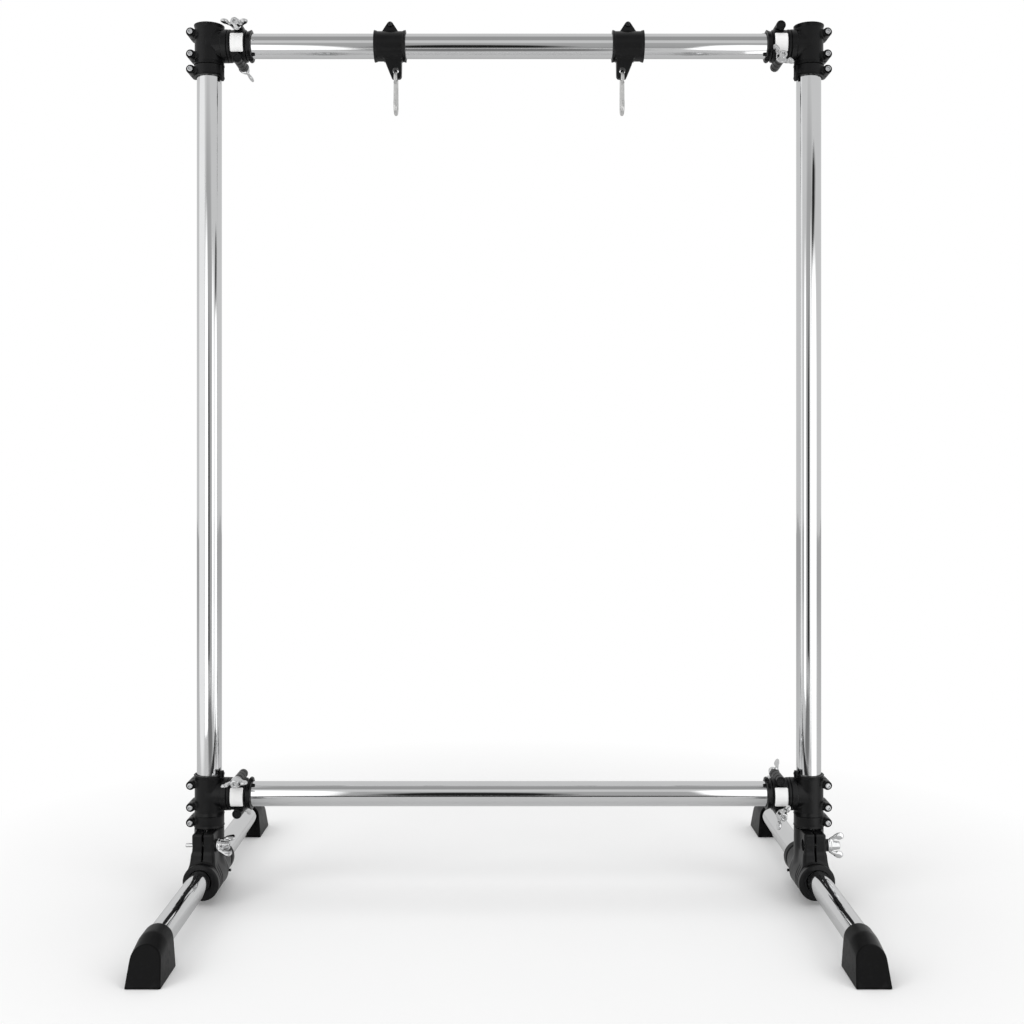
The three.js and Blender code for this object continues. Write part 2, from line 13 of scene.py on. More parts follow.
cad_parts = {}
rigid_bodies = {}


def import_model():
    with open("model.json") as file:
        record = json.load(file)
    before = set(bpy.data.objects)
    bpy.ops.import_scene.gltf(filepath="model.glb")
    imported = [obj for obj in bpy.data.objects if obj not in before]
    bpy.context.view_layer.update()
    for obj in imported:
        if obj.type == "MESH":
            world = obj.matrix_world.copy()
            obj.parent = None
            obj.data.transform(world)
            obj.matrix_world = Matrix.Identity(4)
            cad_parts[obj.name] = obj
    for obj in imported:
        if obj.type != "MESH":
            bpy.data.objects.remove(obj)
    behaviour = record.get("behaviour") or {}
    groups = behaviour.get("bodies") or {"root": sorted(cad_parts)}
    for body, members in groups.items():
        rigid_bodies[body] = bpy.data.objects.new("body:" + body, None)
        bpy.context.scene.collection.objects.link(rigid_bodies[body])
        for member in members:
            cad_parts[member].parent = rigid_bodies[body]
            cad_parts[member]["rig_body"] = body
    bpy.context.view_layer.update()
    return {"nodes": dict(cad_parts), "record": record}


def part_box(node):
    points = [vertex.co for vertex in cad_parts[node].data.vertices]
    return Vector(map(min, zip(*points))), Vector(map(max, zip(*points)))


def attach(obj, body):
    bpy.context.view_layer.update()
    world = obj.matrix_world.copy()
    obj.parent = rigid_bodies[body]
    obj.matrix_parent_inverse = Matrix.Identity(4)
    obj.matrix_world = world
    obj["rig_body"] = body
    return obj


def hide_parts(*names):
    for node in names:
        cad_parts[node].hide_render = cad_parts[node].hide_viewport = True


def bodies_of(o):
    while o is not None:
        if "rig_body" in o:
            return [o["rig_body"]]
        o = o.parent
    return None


bl_info = {
    "name": "Gong Stand",
    "version": (1, 0, 0),
    "blender": (4, 5, 0),
    "location": "View3D > Sidebar > Gong Stand",
    "description": "Builds the visible pieces of a tubular gong stand around its packed frame",
    "category": "Object",
}

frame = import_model()

SIDES = {"left": -1, "right": 1}
FACES = {"front": -1, "back": 1}
LEVELS = ("top", "bottom")

# Rest angles of the arm wing bolts about their own axes, in degrees
WING_TURNS = {
    "top_left": {"front": 0, "back": 55},
    "top_right": {"front": -42, "back": 20},
    "bottom_left": {"front": 8, "back": 70},
    "bottom_right": {"front": 62, "back": 118},
}
LEG_WING_TURNS = {"left": -57, "right": 8}

# Grid pitch that each kind of piece is skinned at, and the share of faces that it keeps
MOULDED_PITCH = 0.0011
CAST_PITCH = 0.0007
SMALL_PITCH = 0.0005
MOULDED_SHARE = 0.34
CAST_SHARE = 0.45

SLIP = 0.0003
PARTING = 0.0006
OVERRUN = 0.002


# Settings


def length(title, about, default):
    """A size in metres, shown in the scene's own unit."""
    return FloatProperty(
        name=title, description=about, default=default, min=0.0, unit="LENGTH", precision=4
    )


def share(title, about, default):
    """A plain number from 0 to 1."""
    return FloatProperty(
        name=title, description=about, default=default, min=0.0, max=1.0, subtype="FACTOR"
    )


def colour(title, about, default):
    """A linear colour."""
    return FloatVectorProperty(
        name=title, description=about, default=default, size=3, min=0.0, max=1.0, subtype="COLOR"
    )


class GONG_PG_tube(PropertyGroup):
    wall: length("Wall", "Thickness of the tube wall", 0.0016)
    end_round: length("End round", "Radius of the deburred tube ends", 0.0005)
    plug_recess: length("Plug recess", "How far the plugs sit below the uprights' ends", 0.0006)
    plug_depth: length("Plug depth", "How far the plugs reach into the uprights", 0.012)


class GONG_PG_clamp(PropertyGroup):
    sleeve_radius: length("Sleeve radius", "Outside radius of the sleeve on the upright", 0.0221)
    sleeve_half: length("Sleeve half height", "Half the height of the sleeve", 0.031)
    rim_flare: length("Rim flare", "How far the sleeve's rims stand out", 0.0013)
    rim_width: length("Rim width", "Height of the sleeve's flared rims", 0.005)
    neck_start: length("Neck start", "Where the neck band starts along the arm", 0.021)
    neck_end: length("Neck end", "Where the neck band ends and the cover starts", 0.030)
    neck_radius: length("Neck radius", "Radius of the neck band", 0.025)
    shell_radius: length("Shell radius", "Outside radius of the split arm", 0.0242)
    shell_end: length("Shell end", "Where the arm ends along the crossbar", 0.0585)
    band_width: length("Band width", "Width of the raised band beside the neck", 0.0052)
    band_rise: length("Band rise", "How far the raised band stands out", 0.0006)
    bore_radius: length("Bore radius", "Radius of the bores round the tubes", 0.01935)
    bar_stop: length("Bar stop", "Where the crossbar's seat starts along the arm", 0.0235)
    bolt_along: length("Arm bolt place", "Where the arm bolts stand along the arm", 0.0475)
    bolt_height: length("Arm bolt height", "Height of the arm bolts above and below the crossbar", 0.025)
    boss_radius: length("Boss radius", "Radius of the arm bolts' bosses", 0.0072)
    boss_reach: length("Boss reach", "How far the bosses reach to the front and back", 0.025)
    blind: length("Blind end", "Thickness left at the blind end of the arm bolts' holes", 0.0042)
    boss_groove: length("Boss groove", "Where the groove round each boss lies", 0.014)
    lug_offset: length("Lug offset", "Distance of the pinch lugs from the upright's axis", 0.025)
    lug_height: length("Lug height", "Height of the pinch lugs above and below the crossbar", 0.0168)
    lug_radius: length("Lug radius", "Radius of the pinch lugs", 0.0068)
    lug_half: length("Lug half length", "Half the length of the pinch lugs", 0.018)
    ring_half: length("Lock ring half height", "Half the height of the lock rings on the uprights", 0.00875)
    ring_radius: length("Lock ring radius", "Radius of the lock rings on the uprights", 0.0226)
    bar_ring_width: length("Bar ring width", "Width of the lock rings on the crossbars", 0.008)
    bar_ring_radius: length("Bar ring radius", "Radius of the lock rings on the crossbars", 0.0222)
    bar_ring_lip: length("Bar ring lip", "Radius of the crossbar rings' lips", 0.0245)
    edge: length("Edge round", "Radius of the moulded edges", 0.0009)
    fillet: length("Fillet", "Size of the moulded inside fillets", 0.0022)
    label_start: length("Label start", "Where the label starts along the arm", 0.0366)
    label_end: length("Label end", "Where the label ends along the arm", 0.0562)
    label_half: length("Label half height", "Half the height of the label", 0.0144)


class GONG_PG_wing(PropertyGroup):
    hub_radius: length("Hub radius", "Radius of the hub at its base", 0.0078)
    hub_top_radius: length("Hub top radius", "Radius of the hub at its end", 0.0060)
    hub_height: length("Hub height", "Height of the hub", 0.017)
    hole_radius: length("Hole radius", "Radius of the blind hole in the hub's end", 0.0026)
    hole_depth: length("Hole depth", "Depth of the blind hole in the hub's end", 0.004)
    half_span: length("Half span", "Reach of each wing from the axis", 0.0205)
    rise: length("Rise", "Height of the wings above the hub's base", 0.023)
    thickness: length("Thickness", "Thickness of the wings", 0.0044)
    arm_radius: length("Arm radius", "Half the width of each wing's arm", 0.0028)
    ear_radius: length("Ear radius", "Radius of each wing's ear", 0.0056)
    shank_radius: length("Shank radius", "Radius of the threaded shank", 0.003)


class GONG_PG_hanger(PropertyGroup):
    half_length: length("Half length", "Half the length of the hanger along the bar", 0.02425)
    waist_radius: length("Waist radius", "Radius of the hanger's middle", 0.0225)
    lip_radius: length("Lip radius", "Radius of the hanger's flared ends", 0.0243)
    ear_width: length("Ear width", "Width of the screwed ear at its foot", 0.0238)
    ear_rise: length("Ear rise", "Height of the ear above the waist", 0.0145)
    ear_tip: length("Ear tip", "Radius of the ear's rounded top", 0.005)
    ear_half: length("Ear half depth", "Half the depth of the ear", 0.006)
    lug_bottom: length("Lug bottom", "How far the eye lug hangs below the bar's axis", 0.0506)
    lug_half: length("Lug half depth", "Half the depth of the lug at the eye", 0.004)
    lug_root: length("Lug root", "Half the depth of the lug at its root", 0.0125)
    eye_offset: length("Eye offset", "Distance of the eye from the hanger's middle", 0.0087)
    eye_drop: length("Eye drop", "How far the eye lies below the bar's axis", 0.0393)
    eye_radius: length("Eye radius", "Radius of the eye", 0.0048)


class GONG_PG_hook(PropertyGroup):
    wire_radius: length("Wire radius", "Radius of the hook's wire", 0.0028)
    top_bend: length("Top bend", "Radius of the upper bend", 0.010)
    bottom_bend: length("Bottom bend", "Radius of the lower bend", 0.013)
    drop: length("Drop", "Distance between the centres of the bends", 0.0417)
    gate_radius: length("Gate radius", "Radius of the spring gate", 0.0026)
    pivot_drop: length("Pivot drop", "How far the gate's pin lies below the upper bend's centre", 0.009)
    nose_rise: length("Nose rise", "How far the nose stands above the lower bend's centre", 0.003)


class GONG_PG_bracket(PropertyGroup):
    saddle_radius: length("Saddle radius", "Outside radius of the saddle on the leg tube", 0.0232)
    lobe_radius: length("Lobe radius", "Radius of the saddle's lower inner lobe", 0.024)
    lobe_offset: length("Lobe offset", "How far the lobe lies to the stand's inner side", 0.004)
    lobe_drop: length("Lobe drop", "How far the lobe lies below the leg tube's axis", 0.005)
    lobe_end: length("Lobe end", "Where the lobe starts to taper to the back", 0.006)
    lobe_taper: length("Lobe taper", "Length of the lobe's taper", 0.036)
    saddle_half: length("Saddle half length", "Half the length of the saddle", 0.062)
    mouth_radius: length("Mouth radius", "Radius of the saddle's flared mouths", 0.0255)
    mouth_length: length("Mouth length", "Length of the flared mouths", 0.012)
    socket_radius: length("Socket radius", "Outside radius of the upright's socket", 0.0225)
    socket_top: length("Socket top", "Height of the socket's top above the floor", 0.102)
    jaw_half: length("Jaw half width", "Half the width of the clamp jaws", 0.0165)
    jaw_reach: length("Jaw reach", "How far the jaws reach to the front", 0.043)
    flare_half: length("Flare half width", "Half the width of the jaws' flared foot", 0.022)
    flare_top: length("Flare top", "Height at which the jaws start to flare", 0.072)
    flare_reach: length("Flare reach", "How far the flared foot reaches to the front", 0.050)
    bolt_reach: length("Bolt reach", "Distance of the clamp bolt from the upright's axis", 0.033)
    bolt_height: length("Bolt height", "Height of the clamp bolt above the floor", 0.083)
    recess_radius: length("Recess radius", "Radius of the round recess on the bolt's far side", 0.0084)
    recess_depth: length("Recess depth", "Depth of the round recess", 0.003)
    washer_radius: length("Washer radius", "Radius of the washer under the wing bolt", 0.0095)
    washer_thickness: length("Washer thickness", "Thickness of the washer", 0.0016)
    tail: length("Bolt tail", "How far the left bolt stands out of the far jaw", 0.011)


class GONG_PG_foot(PropertyGroup):
    length_along: length("Foot length", "Length of the foot along its leg tube", 0.075)
    bottom_half: length("Sole half width", "Half the width of the sole", 0.023)
    shoulder_half: length("Shoulder half width", "Half the width at the tube's height", 0.0205)
    top: length("Foot top", "Height of the foot", 0.0575)
    nose: length("Nose height", "Height of the foot over its leaning front face", 0.050)
    crest: length("Crest", "Distance from the tip at which the foot is at its full height", 0.045)
    lean: length("Lean", "How far the front face leans back", 0.022)
    tube_depth: length("Tube depth", "How far the leg tube goes into the foot", 0.030)
    edge: length("Foot edge round", "Radius of the foot's edges", 0.0022)


class GONG_PG_finish(PropertyGroup):
    chrome: colour("Chrome", "Colour of the polished chrome plate", (0.80, 0.805, 0.81))
    casting: colour("Casting", "Colour of the chrome-plated castings", (0.78, 0.785, 0.79))
    zinc: colour("Zinc", "Colour of the bright zinc hooks", (0.80, 0.80, 0.79))
    steel: colour("Steel", "Colour of the plated bolts", (0.72, 0.73, 0.74))
    nylon: colour("Nylon", "Colour of the moulded nylon", (0.0030, 0.0031, 0.0034))
    rubber: colour("Rubber", "Colour of the rubber feet", (0.0034, 0.0034, 0.0036))
    label: colour("Label", "Colour of the blank labels", (0.93, 0.93, 0.925))
    chrome_haze: share("Chrome haze", "How hazy the polished chrome is", 0.045)
    nylon_sheen: share("Nylon roughness", "How rough the moulded nylon is", 0.29)


class GONG_PG_stage(PropertyGroup):
    floor: colour("Floor", "Colour of the floor", (0.92, 0.92, 0.92))
    ambient: share("Ambient", "Strength of the light from all round", 0.70)
    reflection: share("Reflection", "Brightness of the room that the chrome reflects", 0.66)
    key_power: FloatProperty(
        name="Key power", description="Power of the left soft lamp", default=25.0, unit="POWER"
    )
    fade_start: length("Fade start", "Distance at which the floor starts to fade to white", 0.62)
    fade_end: length("Fade end", "Distance at which the floor is plain white", 1.05)
    camera_distance: length("Camera distance", "Distance of the camera in front of the uprights", 1.946)
    camera_height: length("Camera height", "Height of the camera above the floor", 0.6745)
    lens: FloatProperty(name="Lens", description="Focal length of the camera", default=44.37, unit="CAMERA")
    horizon: FloatProperty(name="Horizon", description="Vertical shift of the picture", default=-0.0557)


class GONG_PG_stand(PropertyGroup):
    tube: PointerProperty(type=GONG_PG_tube, name="Tube", description="Chrome tube")
    clamp: PointerProperty(type=GONG_PG_clamp, name="Clamp", description="Tee clamps and lock rings")
    wing: PointerProperty(type=GONG_PG_wing, name="Wing bolt", description="Cast wing bolts")
    hanger: PointerProperty(type=GONG_PG_hanger, name="Hanger", description="Hangers on the top bar")
    hook: PointerProperty(type=GONG_PG_hook, name="Hook", description="Spring hooks")
    bracket: PointerProperty(type=GONG_PG_bracket, name="Bracket", description="Leg brackets")
    foot: PointerProperty(type=GONG_PG_foot, name="Foot", description="Rubber feet")
    finish: PointerProperty(type=GONG_PG_finish, name="Finish", description="Colours and sheen")
    stage: PointerProperty(type=GONG_PG_stage, name="Stage", description="Floor, light and camera")


def settings():
    """The stand's settings in the scene."""
    return bpy.context.scene.gong_stand


# Solid forms as signed distances

AXES = {"x": (0, 1, 2), "y": (1, 0, 2), "z": (2, 0, 1)}


def soft_least(a, b, fillet):
    """The smaller of two distances, rounded where they are nearly equal."""
    if fillet <= 0.0:
        return np.minimum(a, b)
    near = np.maximum(fillet - np.abs(a - b), 0.0) / fillet
    return np.minimum(a, b) - near * near * fillet / 4


def rounded(side, end, edge):
    """Distance to a shape bounded by a side and an end that meet in a rounded edge."""
    side = side + edge
    end = end + edge
    outside = np.hypot(np.maximum(side, 0.0), np.maximum(end, 0.0))
    return outside + np.minimum(np.maximum(side, end), 0.0) - edge


class Form:
    """A solid as the signed distance to its skin, negative inside, at rows of x, y, z in metres."""

    def __init__(self, distance):
        self.distance = distance

    def joined(self, other, fillet=0.0):
        return Form(lambda p: soft_least(self.distance(p), other.distance(p), fillet))

    def cut(self, other, fillet=0.0):
        return Form(lambda p: -soft_least(-self.distance(p), other.distance(p), fillet))

    def within(self, other, fillet=0.0):
        return Form(lambda p: -soft_least(-self.distance(p), -other.distance(p), fillet))

    def scored(self, axis, places, width, depth):
        """The form with shallow grooves round it at places along an axis."""
        along = AXES[axis][0]

        def distance(p):
            grooves = sum(np.exp(-(((p[:, along] - place) / width) ** 2)) for place in places)
            return self.distance(p) + depth * grooves

        return Form(distance)

    def turned(self, degrees):
        """The form turned about the vertical axis."""
        back = np.array(Matrix.Rotation(-math.radians(degrees), 3, "Z")).T
        return Form(lambda p: self.distance(p @ back))

    def lowered(self, top, crest, rise):
        """The form pressed lower and lower along Y before its crest; top is its full height."""

        def distance(p):
            ahead = crest - p[:, 1]
            drop = rise * (ahead + np.hypot(ahead, 0.003)) / 2
            pressed = np.column_stack((p[:, :2], p[:, 2] * top / (top - drop)))
            return self.distance(pressed)

        return Form(distance)

    def slope(self, points):
        """Outward unit normals at points on the skin."""
        reach = 0.00005
        steps = np.eye(3) * reach
        rise = [self.distance(points + step) - self.distance(points - step) for step in steps]
        slope = np.stack(rise, axis=1) / (2 * reach)
        return slope / np.maximum(np.linalg.norm(slope, axis=1, keepdims=True), 1e-9)

    def settled(self, points, passes=3):
        """Points moved onto the skin, and the normals there."""
        for _ in range(passes):
            points = points - self.slope(points) * self.distance(points)[:, None]
        return points, self.slope(points)


def joined(forms, fillet=0.0):
    """Several forms in one, with a fillet where they meet."""
    whole = forms[0]
    for form in forms[1:]:
        whole = whole.joined(form, fillet)
    return whole


def rod(axis, span, radius, at=(0.0, 0.0), edge=0.0006, end_radius=None):
    """A round rod along an axis; it tapers when a second radius is given."""
    along, first, second = AXES[axis]
    low, high = min(span), max(span)
    start, end = (radius, radius if end_radius is None else end_radius)
    if span[0] > span[1]:
        start, end = end, start
    taper = (end - start) / (high - low)
    lean = math.hypot(1.0, taper)

    def distance(p):
        out = np.hypot(p[:, first] - at[0], p[:, second] - at[1])
        local = start + taper * (np.clip(p[:, along], low, high) - low)
        side = (out - local) / lean
        return rounded(side, np.abs(p[:, along] - (low + high) / 2) - (high - low) / 2, edge)

    return Form(distance)


def block(x, y, z, edge=0.0006):
    """A box between pairs of coordinates, with rounded edges."""
    low = np.array([min(x), min(y), min(z)])
    high = np.array([max(x), max(y), max(z)])

    def distance(p):
        q = np.abs(p - (low + high) / 2) - (high - low) / 2 + edge
        return np.linalg.norm(np.maximum(q, 0.0), axis=1) + np.minimum(q.max(axis=1), 0.0) - edge

    return Form(distance)


def half_space(axis, side, at):
    """Everything on one side of a plane square to an axis."""
    along = AXES[axis][0]
    return Form(lambda p: side * (at - p[:, along]))


def convex_distance(points, outline, corner):
    """Distance in a plane to a convex outline with rounded corners."""
    outline = np.array(outline, float)
    following = np.roll(outline, -1, axis=0)
    area = np.sum(outline[:, 0] * following[:, 1] - following[:, 0] * outline[:, 1])
    whole = None
    for start, end in zip(outline, following):
        edge = end - start
        normal = np.array([edge[1], -edge[0]]) * np.sign(area) / np.linalg.norm(edge)
        side = (points - start) @ normal
        whole = side if whole is None else -soft_least(-whole, -side, corner)
    return whole


def plate(axis, outline, span, corner=0.001, edge=0.0006):
    """A plate with a convex outline across an axis."""
    along, first, second = AXES[axis]
    low, high = min(span), max(span)

    def distance(p):
        side = convex_distance(p[:, (first, second)], outline, corner)
        return rounded(side, np.abs(p[:, along] - (low + high) / 2) - (high - low) / 2, edge)

    return Form(distance)


def strap(axis, path, radius, half, edge=0.0006):
    """A flat strap with round sides along a path across an axis, half its thickness each way."""
    along, first, second = AXES[axis]
    path = np.array(path, float)

    def distance(p):
        q = p[:, (first, second)]
        side = None
        for start, end in zip(path[:-1], path[1:]):
            run = end - start
            share_along = np.clip((q - start) @ run / (run @ run), 0.0, 1.0)
            gap = np.linalg.norm(q - start - share_along[:, None] * run, axis=1) - radius
            side = gap if side is None else np.minimum(side, gap)
        return rounded(side, np.abs(p[:, along]) - half, edge)

    return Form(distance)


def arc(centre, radius, start, end, steps):
    """Points on an arc, its angles in degrees."""
    angles = np.radians(np.linspace(start, end, steps + 1))
    return [(centre[0] + radius * math.cos(a), centre[1] + radius * math.sin(a)) for a in angles]


# Meshes


def added(name, data):
    """A new object in the scene."""
    made = bpy.data.objects.new(name, data)
    bpy.context.scene.collection.objects.link(made)
    return made


def new_mesh(name, points, faces, normals=None):
    """A smooth-shaded mesh, with normals of its own if they are given."""
    mesh = bpy.data.meshes.new(name)
    mesh.from_pydata(np.asarray(points).tolist(), [], [[int(corner) for corner in face] for face in faces])
    mesh.update()
    mesh.shade_smooth()
    if normals is not None:
        mesh.normals_split_custom_set_from_vertices(np.asarray(normals).tolist())
    return mesh


def thinned(mesh, keep):
    """The mesh with its flat stretches gathered into fewer faces."""
    holder = added("thinning", mesh)
    thin = holder.modifiers.new("Thin", "DECIMATE")
    thin.ratio = keep
    graph = bpy.context.evaluated_depsgraph_get()
    lean = bpy.data.meshes.new_from_object(holder.evaluated_get(graph))
    bpy.data.objects.remove(holder)
    bpy.data.meshes.remove(mesh)
    return lean


def skin(name, form, low, high, pitch, keep):
    """A mesh on the skin of a form inside a box, with its normals taken from the form."""
    low = np.array(low) - 2.5 * pitch
    high = np.array(high) + 2.5 * pitch
    counts = np.ceil((high - low) / pitch).astype(int) + 1
    rows = [low[i] + pitch * np.arange(counts[i]) for i in range(3)]
    grid = np.empty(counts, np.float32)
    plane = np.stack(np.meshgrid(rows[1], rows[2], indexing="ij"), axis=-1).reshape(-1, 2)
    for i, x in enumerate(rows[0]):
        points = np.column_stack([np.full(len(plane), x), plane])
        grid[i] = form.distance(points).reshape(counts[1:]) / pitch
    field = openvdb.FloatGrid(background=3.0)
    field.copyFromArray(np.clip(grid, -3.0, 3.0))
    points, quads = field.convertToQuads(isovalue=0.0)
    points = form.settled(low + points.astype(float) * pitch)[0]
    raw = new_mesh(name, points, quads)
    lean = thinned(raw, keep)
    points = np.empty(len(lean.vertices) * 3)
    lean.vertices.foreach_get("co", points)
    points, normals = form.settled(points.reshape(-1, 3), passes=2)
    lean.vertices.foreach_set("co", points.ravel())
    lean.update()
    lean.shade_smooth()
    lean.normals_split_custom_set_from_vertices(normals.tolist())
    lean.name = name
    return lean


def moulded(name, form, low, high, finer=1.0):
    """A mesh on the skin of a moulded piece; a finer share makes the grid's pitch smaller."""
    return skin(name, form, low, high, MOULDED_PITCH * finer, MOULDED_SHARE)


def small(name, form, low, high, finer=1.0):
    """A mesh on the skin of a small metal piece."""
    return skin(name, form, low, high, SMALL_PITCH * finer, CAST_SHARE)


def mirrored(mesh, name):
    """The other hand's mesh, reflected in X."""
    points = np.empty(len(mesh.vertices) * 3)
    mesh.vertices.foreach_get("co", points)
    points = points.reshape(-1, 3) * (-1.0, 1.0, 1.0)
    normals = np.zeros((len(mesh.vertices), 3))
    corners = np.empty(len(mesh.loops), int)
    mesh.loops.foreach_get("vertex_index", corners)
    split = np.empty(len(mesh.loops) * 3)
    mesh.corner_normals.foreach_get("vector", split)
    normals[corners] = split.reshape(-1, 3) * (-1.0, 1.0, 1.0)
    faces = [list(face.vertices)[::-1] for face in mesh.polygons]
    return new_mesh(name, points, faces, normals)


def both_hands(name, mesh):
    """The mesh for the left as given, and its reflection for the right."""
    return {"left": mesh, "right": mirrored(mesh, f"{name}_right")}


def revolved(name, profile, facets=96):
    """A closed profile of (radius, height) turned about the vertical axis."""
    turns = np.arange(facets) * 2 * math.pi / facets
    ring = np.column_stack([np.cos(turns), np.sin(turns)])
    points = np.concatenate([np.column_stack([ring * r, np.full(facets, h)]) for r, h in profile])
    faces = []
    for i in range(len(profile)):
        here, there = i * facets, ((i + 1) % len(profile)) * facets
        for j in range(facets):
            k = (j + 1) % facets
            faces.append([here + j, here + k, there + k, there + j])
    return new_mesh(name, points, faces)


def swept(name, path, radius, facets=20, nose=4):
    """A round bar along points in the YZ plane, its ends rounded over."""
    path = np.array([(0.0, y, z) for y, z in path])
    along = np.gradient(path, axis=0)
    along /= np.linalg.norm(along, axis=1, keepdims=True)
    radii = np.full(len(path), radius)
    cap = np.linspace(0.0, math.pi / 2, nose + 1)[1:]
    before = [(path[0] - along[0] * radius * math.sin(a), along[0], radius * math.cos(a)) for a in cap]
    after = [(path[-1] + along[-1] * radius * math.sin(a), along[-1], radius * math.cos(a)) for a in cap]
    rings = before[::-1] + list(zip(path, along, radii)) + after
    turns = np.arange(facets) * 2 * math.pi / facets
    side = np.array([1.0, 0.0, 0.0])
    points = []
    for centre, way, size in rings:
        up = np.cross(way, side)
        size = max(size, radius * 0.02)
        points += [centre + size * (math.cos(t) * side + math.sin(t) * up) for t in turns]
    faces = []
    for i in range(len(rings) - 1):
        for j in range(facets):
            k = (j + 1) % facets
            faces.append([i * facets + j, i * facets + k, (i + 1) * facets + k, (i + 1) * facets + j])
    last = (len(rings) - 1) * facets
    faces.append(list(range(facets))[::-1])
    faces.append([last + j for j in range(facets)])
    return new_mesh(name, points, faces)


# Finishes


class Socket:
    """An output of a shader node; arithmetic on it adds Math nodes."""

    def __init__(self, shader, output):
        self.shader = shader
        self.output = output

    def maths(self, operation, *values):
        inputs = dict(enumerate(values))
        return self.shader.node("ShaderNodeMath", {"operation": operation}, inputs)

    def __add__(self, other):
        return self.maths("ADD", self, other)

    def __radd__(self, other):
        return self.maths("ADD", other, self)

    def __sub__(self, other):
        return self.maths("SUBTRACT", self, other)

    def __rsub__(self, other):
        return self.maths("SUBTRACT", other, self)

    def __mul__(self, other):
        return self.maths("MULTIPLY", self, other)

    def __rmul__(self, other):
        return self.maths("MULTIPLY", other, self)

    def __pow__(self, other):
        return self.maths("POWER", self, other)

    def clamped(self, low, high):
        """The value spread from low..high onto 0..1 and held there."""
        values = {"Value": self, "From Min": low, "From Max": high}
        return self.shader.node("ShaderNodeMapRange", {"clamp": True}, values)


class Shader:
    """A node tree that is written node by node."""

    def __init__(self, tree):
        self.tree = tree
        tree.nodes.clear()

    def node(self, kind, options=None, values=None, output=0):
        made = self.tree.nodes.new(kind)
        for name, option in (options or {}).items():
            setattr(made, name, option)
        for name, value in (values or {}).items():
            if isinstance(value, Socket):
                self.tree.links.new(value.output, made.inputs[name])
            else:
                made.inputs[name].default_value = value
        return Socket(self, made.outputs[output]) if len(made.outputs) else None

    def coordinates(self):
        return self.node("ShaderNodeTexCoord", output="Object")

    def stretched(self, scale):
        values = {"Vector": self.coordinates(), "Scale": scale}
        return self.node("ShaderNodeMapping", None, values)

    def noise(self, scale, detail=3.0, roughness=0.55, where=None):
        values = {
            "Vector": where or self.coordinates(),
            "Scale": scale,
            "Detail": detail,
            "Roughness": roughness,
        }
        return self.node("ShaderNodeTexNoise", None, values)

    def mix(self, a, b, factor):
        """A colour between two, as the factor goes from 0 to 1."""
        values = {0: factor, 6: as_colour(a), 7: as_colour(b)}
        return self.node("ShaderNodeMix", {"data_type": "RGBA"}, values, output=2)

    def bump(self, height, strength, depth):
        values = {"Height": height, "Strength": strength, "Distance": depth}
        return self.node("ShaderNodeBump", None, values)

    def blend(self, factor, a, b):
        """A surface between two, as the factor goes from 0 to 1."""
        return self.node("ShaderNodeMixShader", None, {0: factor, 1: a, 2: b})

    def glow(self, colour_value):
        values = {"Color": (*colour_value, 1.0), "Strength": 1.0}
        return self.node("ShaderNodeEmission", None, values)

    def ray(self, kind):
        """1 for rays of a kind, such as Camera or Glossy, and 0 for the others."""
        return self.node("ShaderNodeLightPath", output=f"Is {kind} Ray")


def as_colour(value):
    return value if isinstance(value, Socket) else (*value, 1.0)


def tinted(colour_value, share_value):
    """A colour made lighter or darker by a share."""
    return tuple(min(c * share_value, 1.0) for c in colour_value)


def material_of(name, surface_from):
    """A material whose surface comes from a function of its shader."""
    material = bpy.data.materials.new(name)
    material.use_nodes = True
    shader = Shader(material.node_tree)
    shader.node("ShaderNodeOutputMaterial", None, {"Surface": surface_from(shader)})
    return material


def principled(name, values_from):
    """A material whose Principled values come from a function of its shader and the finishes."""

    def surface(shader):
        values = values_from(shader, settings().finish)
        return shader.node("ShaderNodeBsdfPrincipled", None, values, output="BSDF")

    return material_of(name, surface)


def chrome_plate(shader, finish):
    """Polished plate: faint waves from the tube's polishing, smears and a few fine scratches."""
    smears = shader.noise(9.0, 4.0).clamped(0.45, 0.8)
    scratches = shader.noise(60.0, 2.0, 0.4, shader.stretched((1.0, 1.0, 0.04))).clamped(0.62, 0.75)
    waves = shader.noise(22.0, 1.0, 0.3, shader.stretched((1.0, 1.0, 0.25)))
    return {
        "Base Color": shader.mix(finish.chrome, tinted(finish.chrome, 0.93), smears * 0.7),
        "Metallic": 1.0,
        "Roughness": smears * 0.05 + scratches * 0.05 + finish.chrome_haze,
        "Normal": shader.bump(waves, 0.05, 0.0006),
    }


def worn_metal(shader, fresh, worn, wear, roughness, normal):
    """Metal that goes from a fresh to a worn colour and roughness as its wear goes from 0 to 1."""
    smooth, rise = roughness
    return {
        "Base Color": shader.mix(fresh, worn, wear),
        "Metallic": 1.0,
        "Roughness": wear * rise + smooth,
        "Normal": normal,
    }


def cast_plate(shader, finish):
    """Chrome over a die casting: softly dimpled, with duller hollows."""
    dimples = shader.bump(shader.noise(420.0, 2.0, 0.5), 0.18, 0.0004)
    dull = shader.noise(70.0, 3.0).clamped(0.4, 0.75)
    return worn_metal(shader, finish.casting, tinted(finish.casting, 0.82), dull, (0.09, 0.12), dimples)


def bright_zinc(shader, finish):
    """Drawn wire, zinc plated: fine lines along the wire and a soft mottle."""
    lines = shader.bump(shader.noise(900.0, 2.0, 0.5, shader.stretched((1.0, 1.0, 0.08))), 0.12, 0.0002)
    mottle = shader.noise(160.0, 3.0).clamped(0.35, 0.75)
    return worn_metal(shader, finish.zinc, tinted(finish.zinc, 0.8), mottle, (0.16, 0.1), lines)


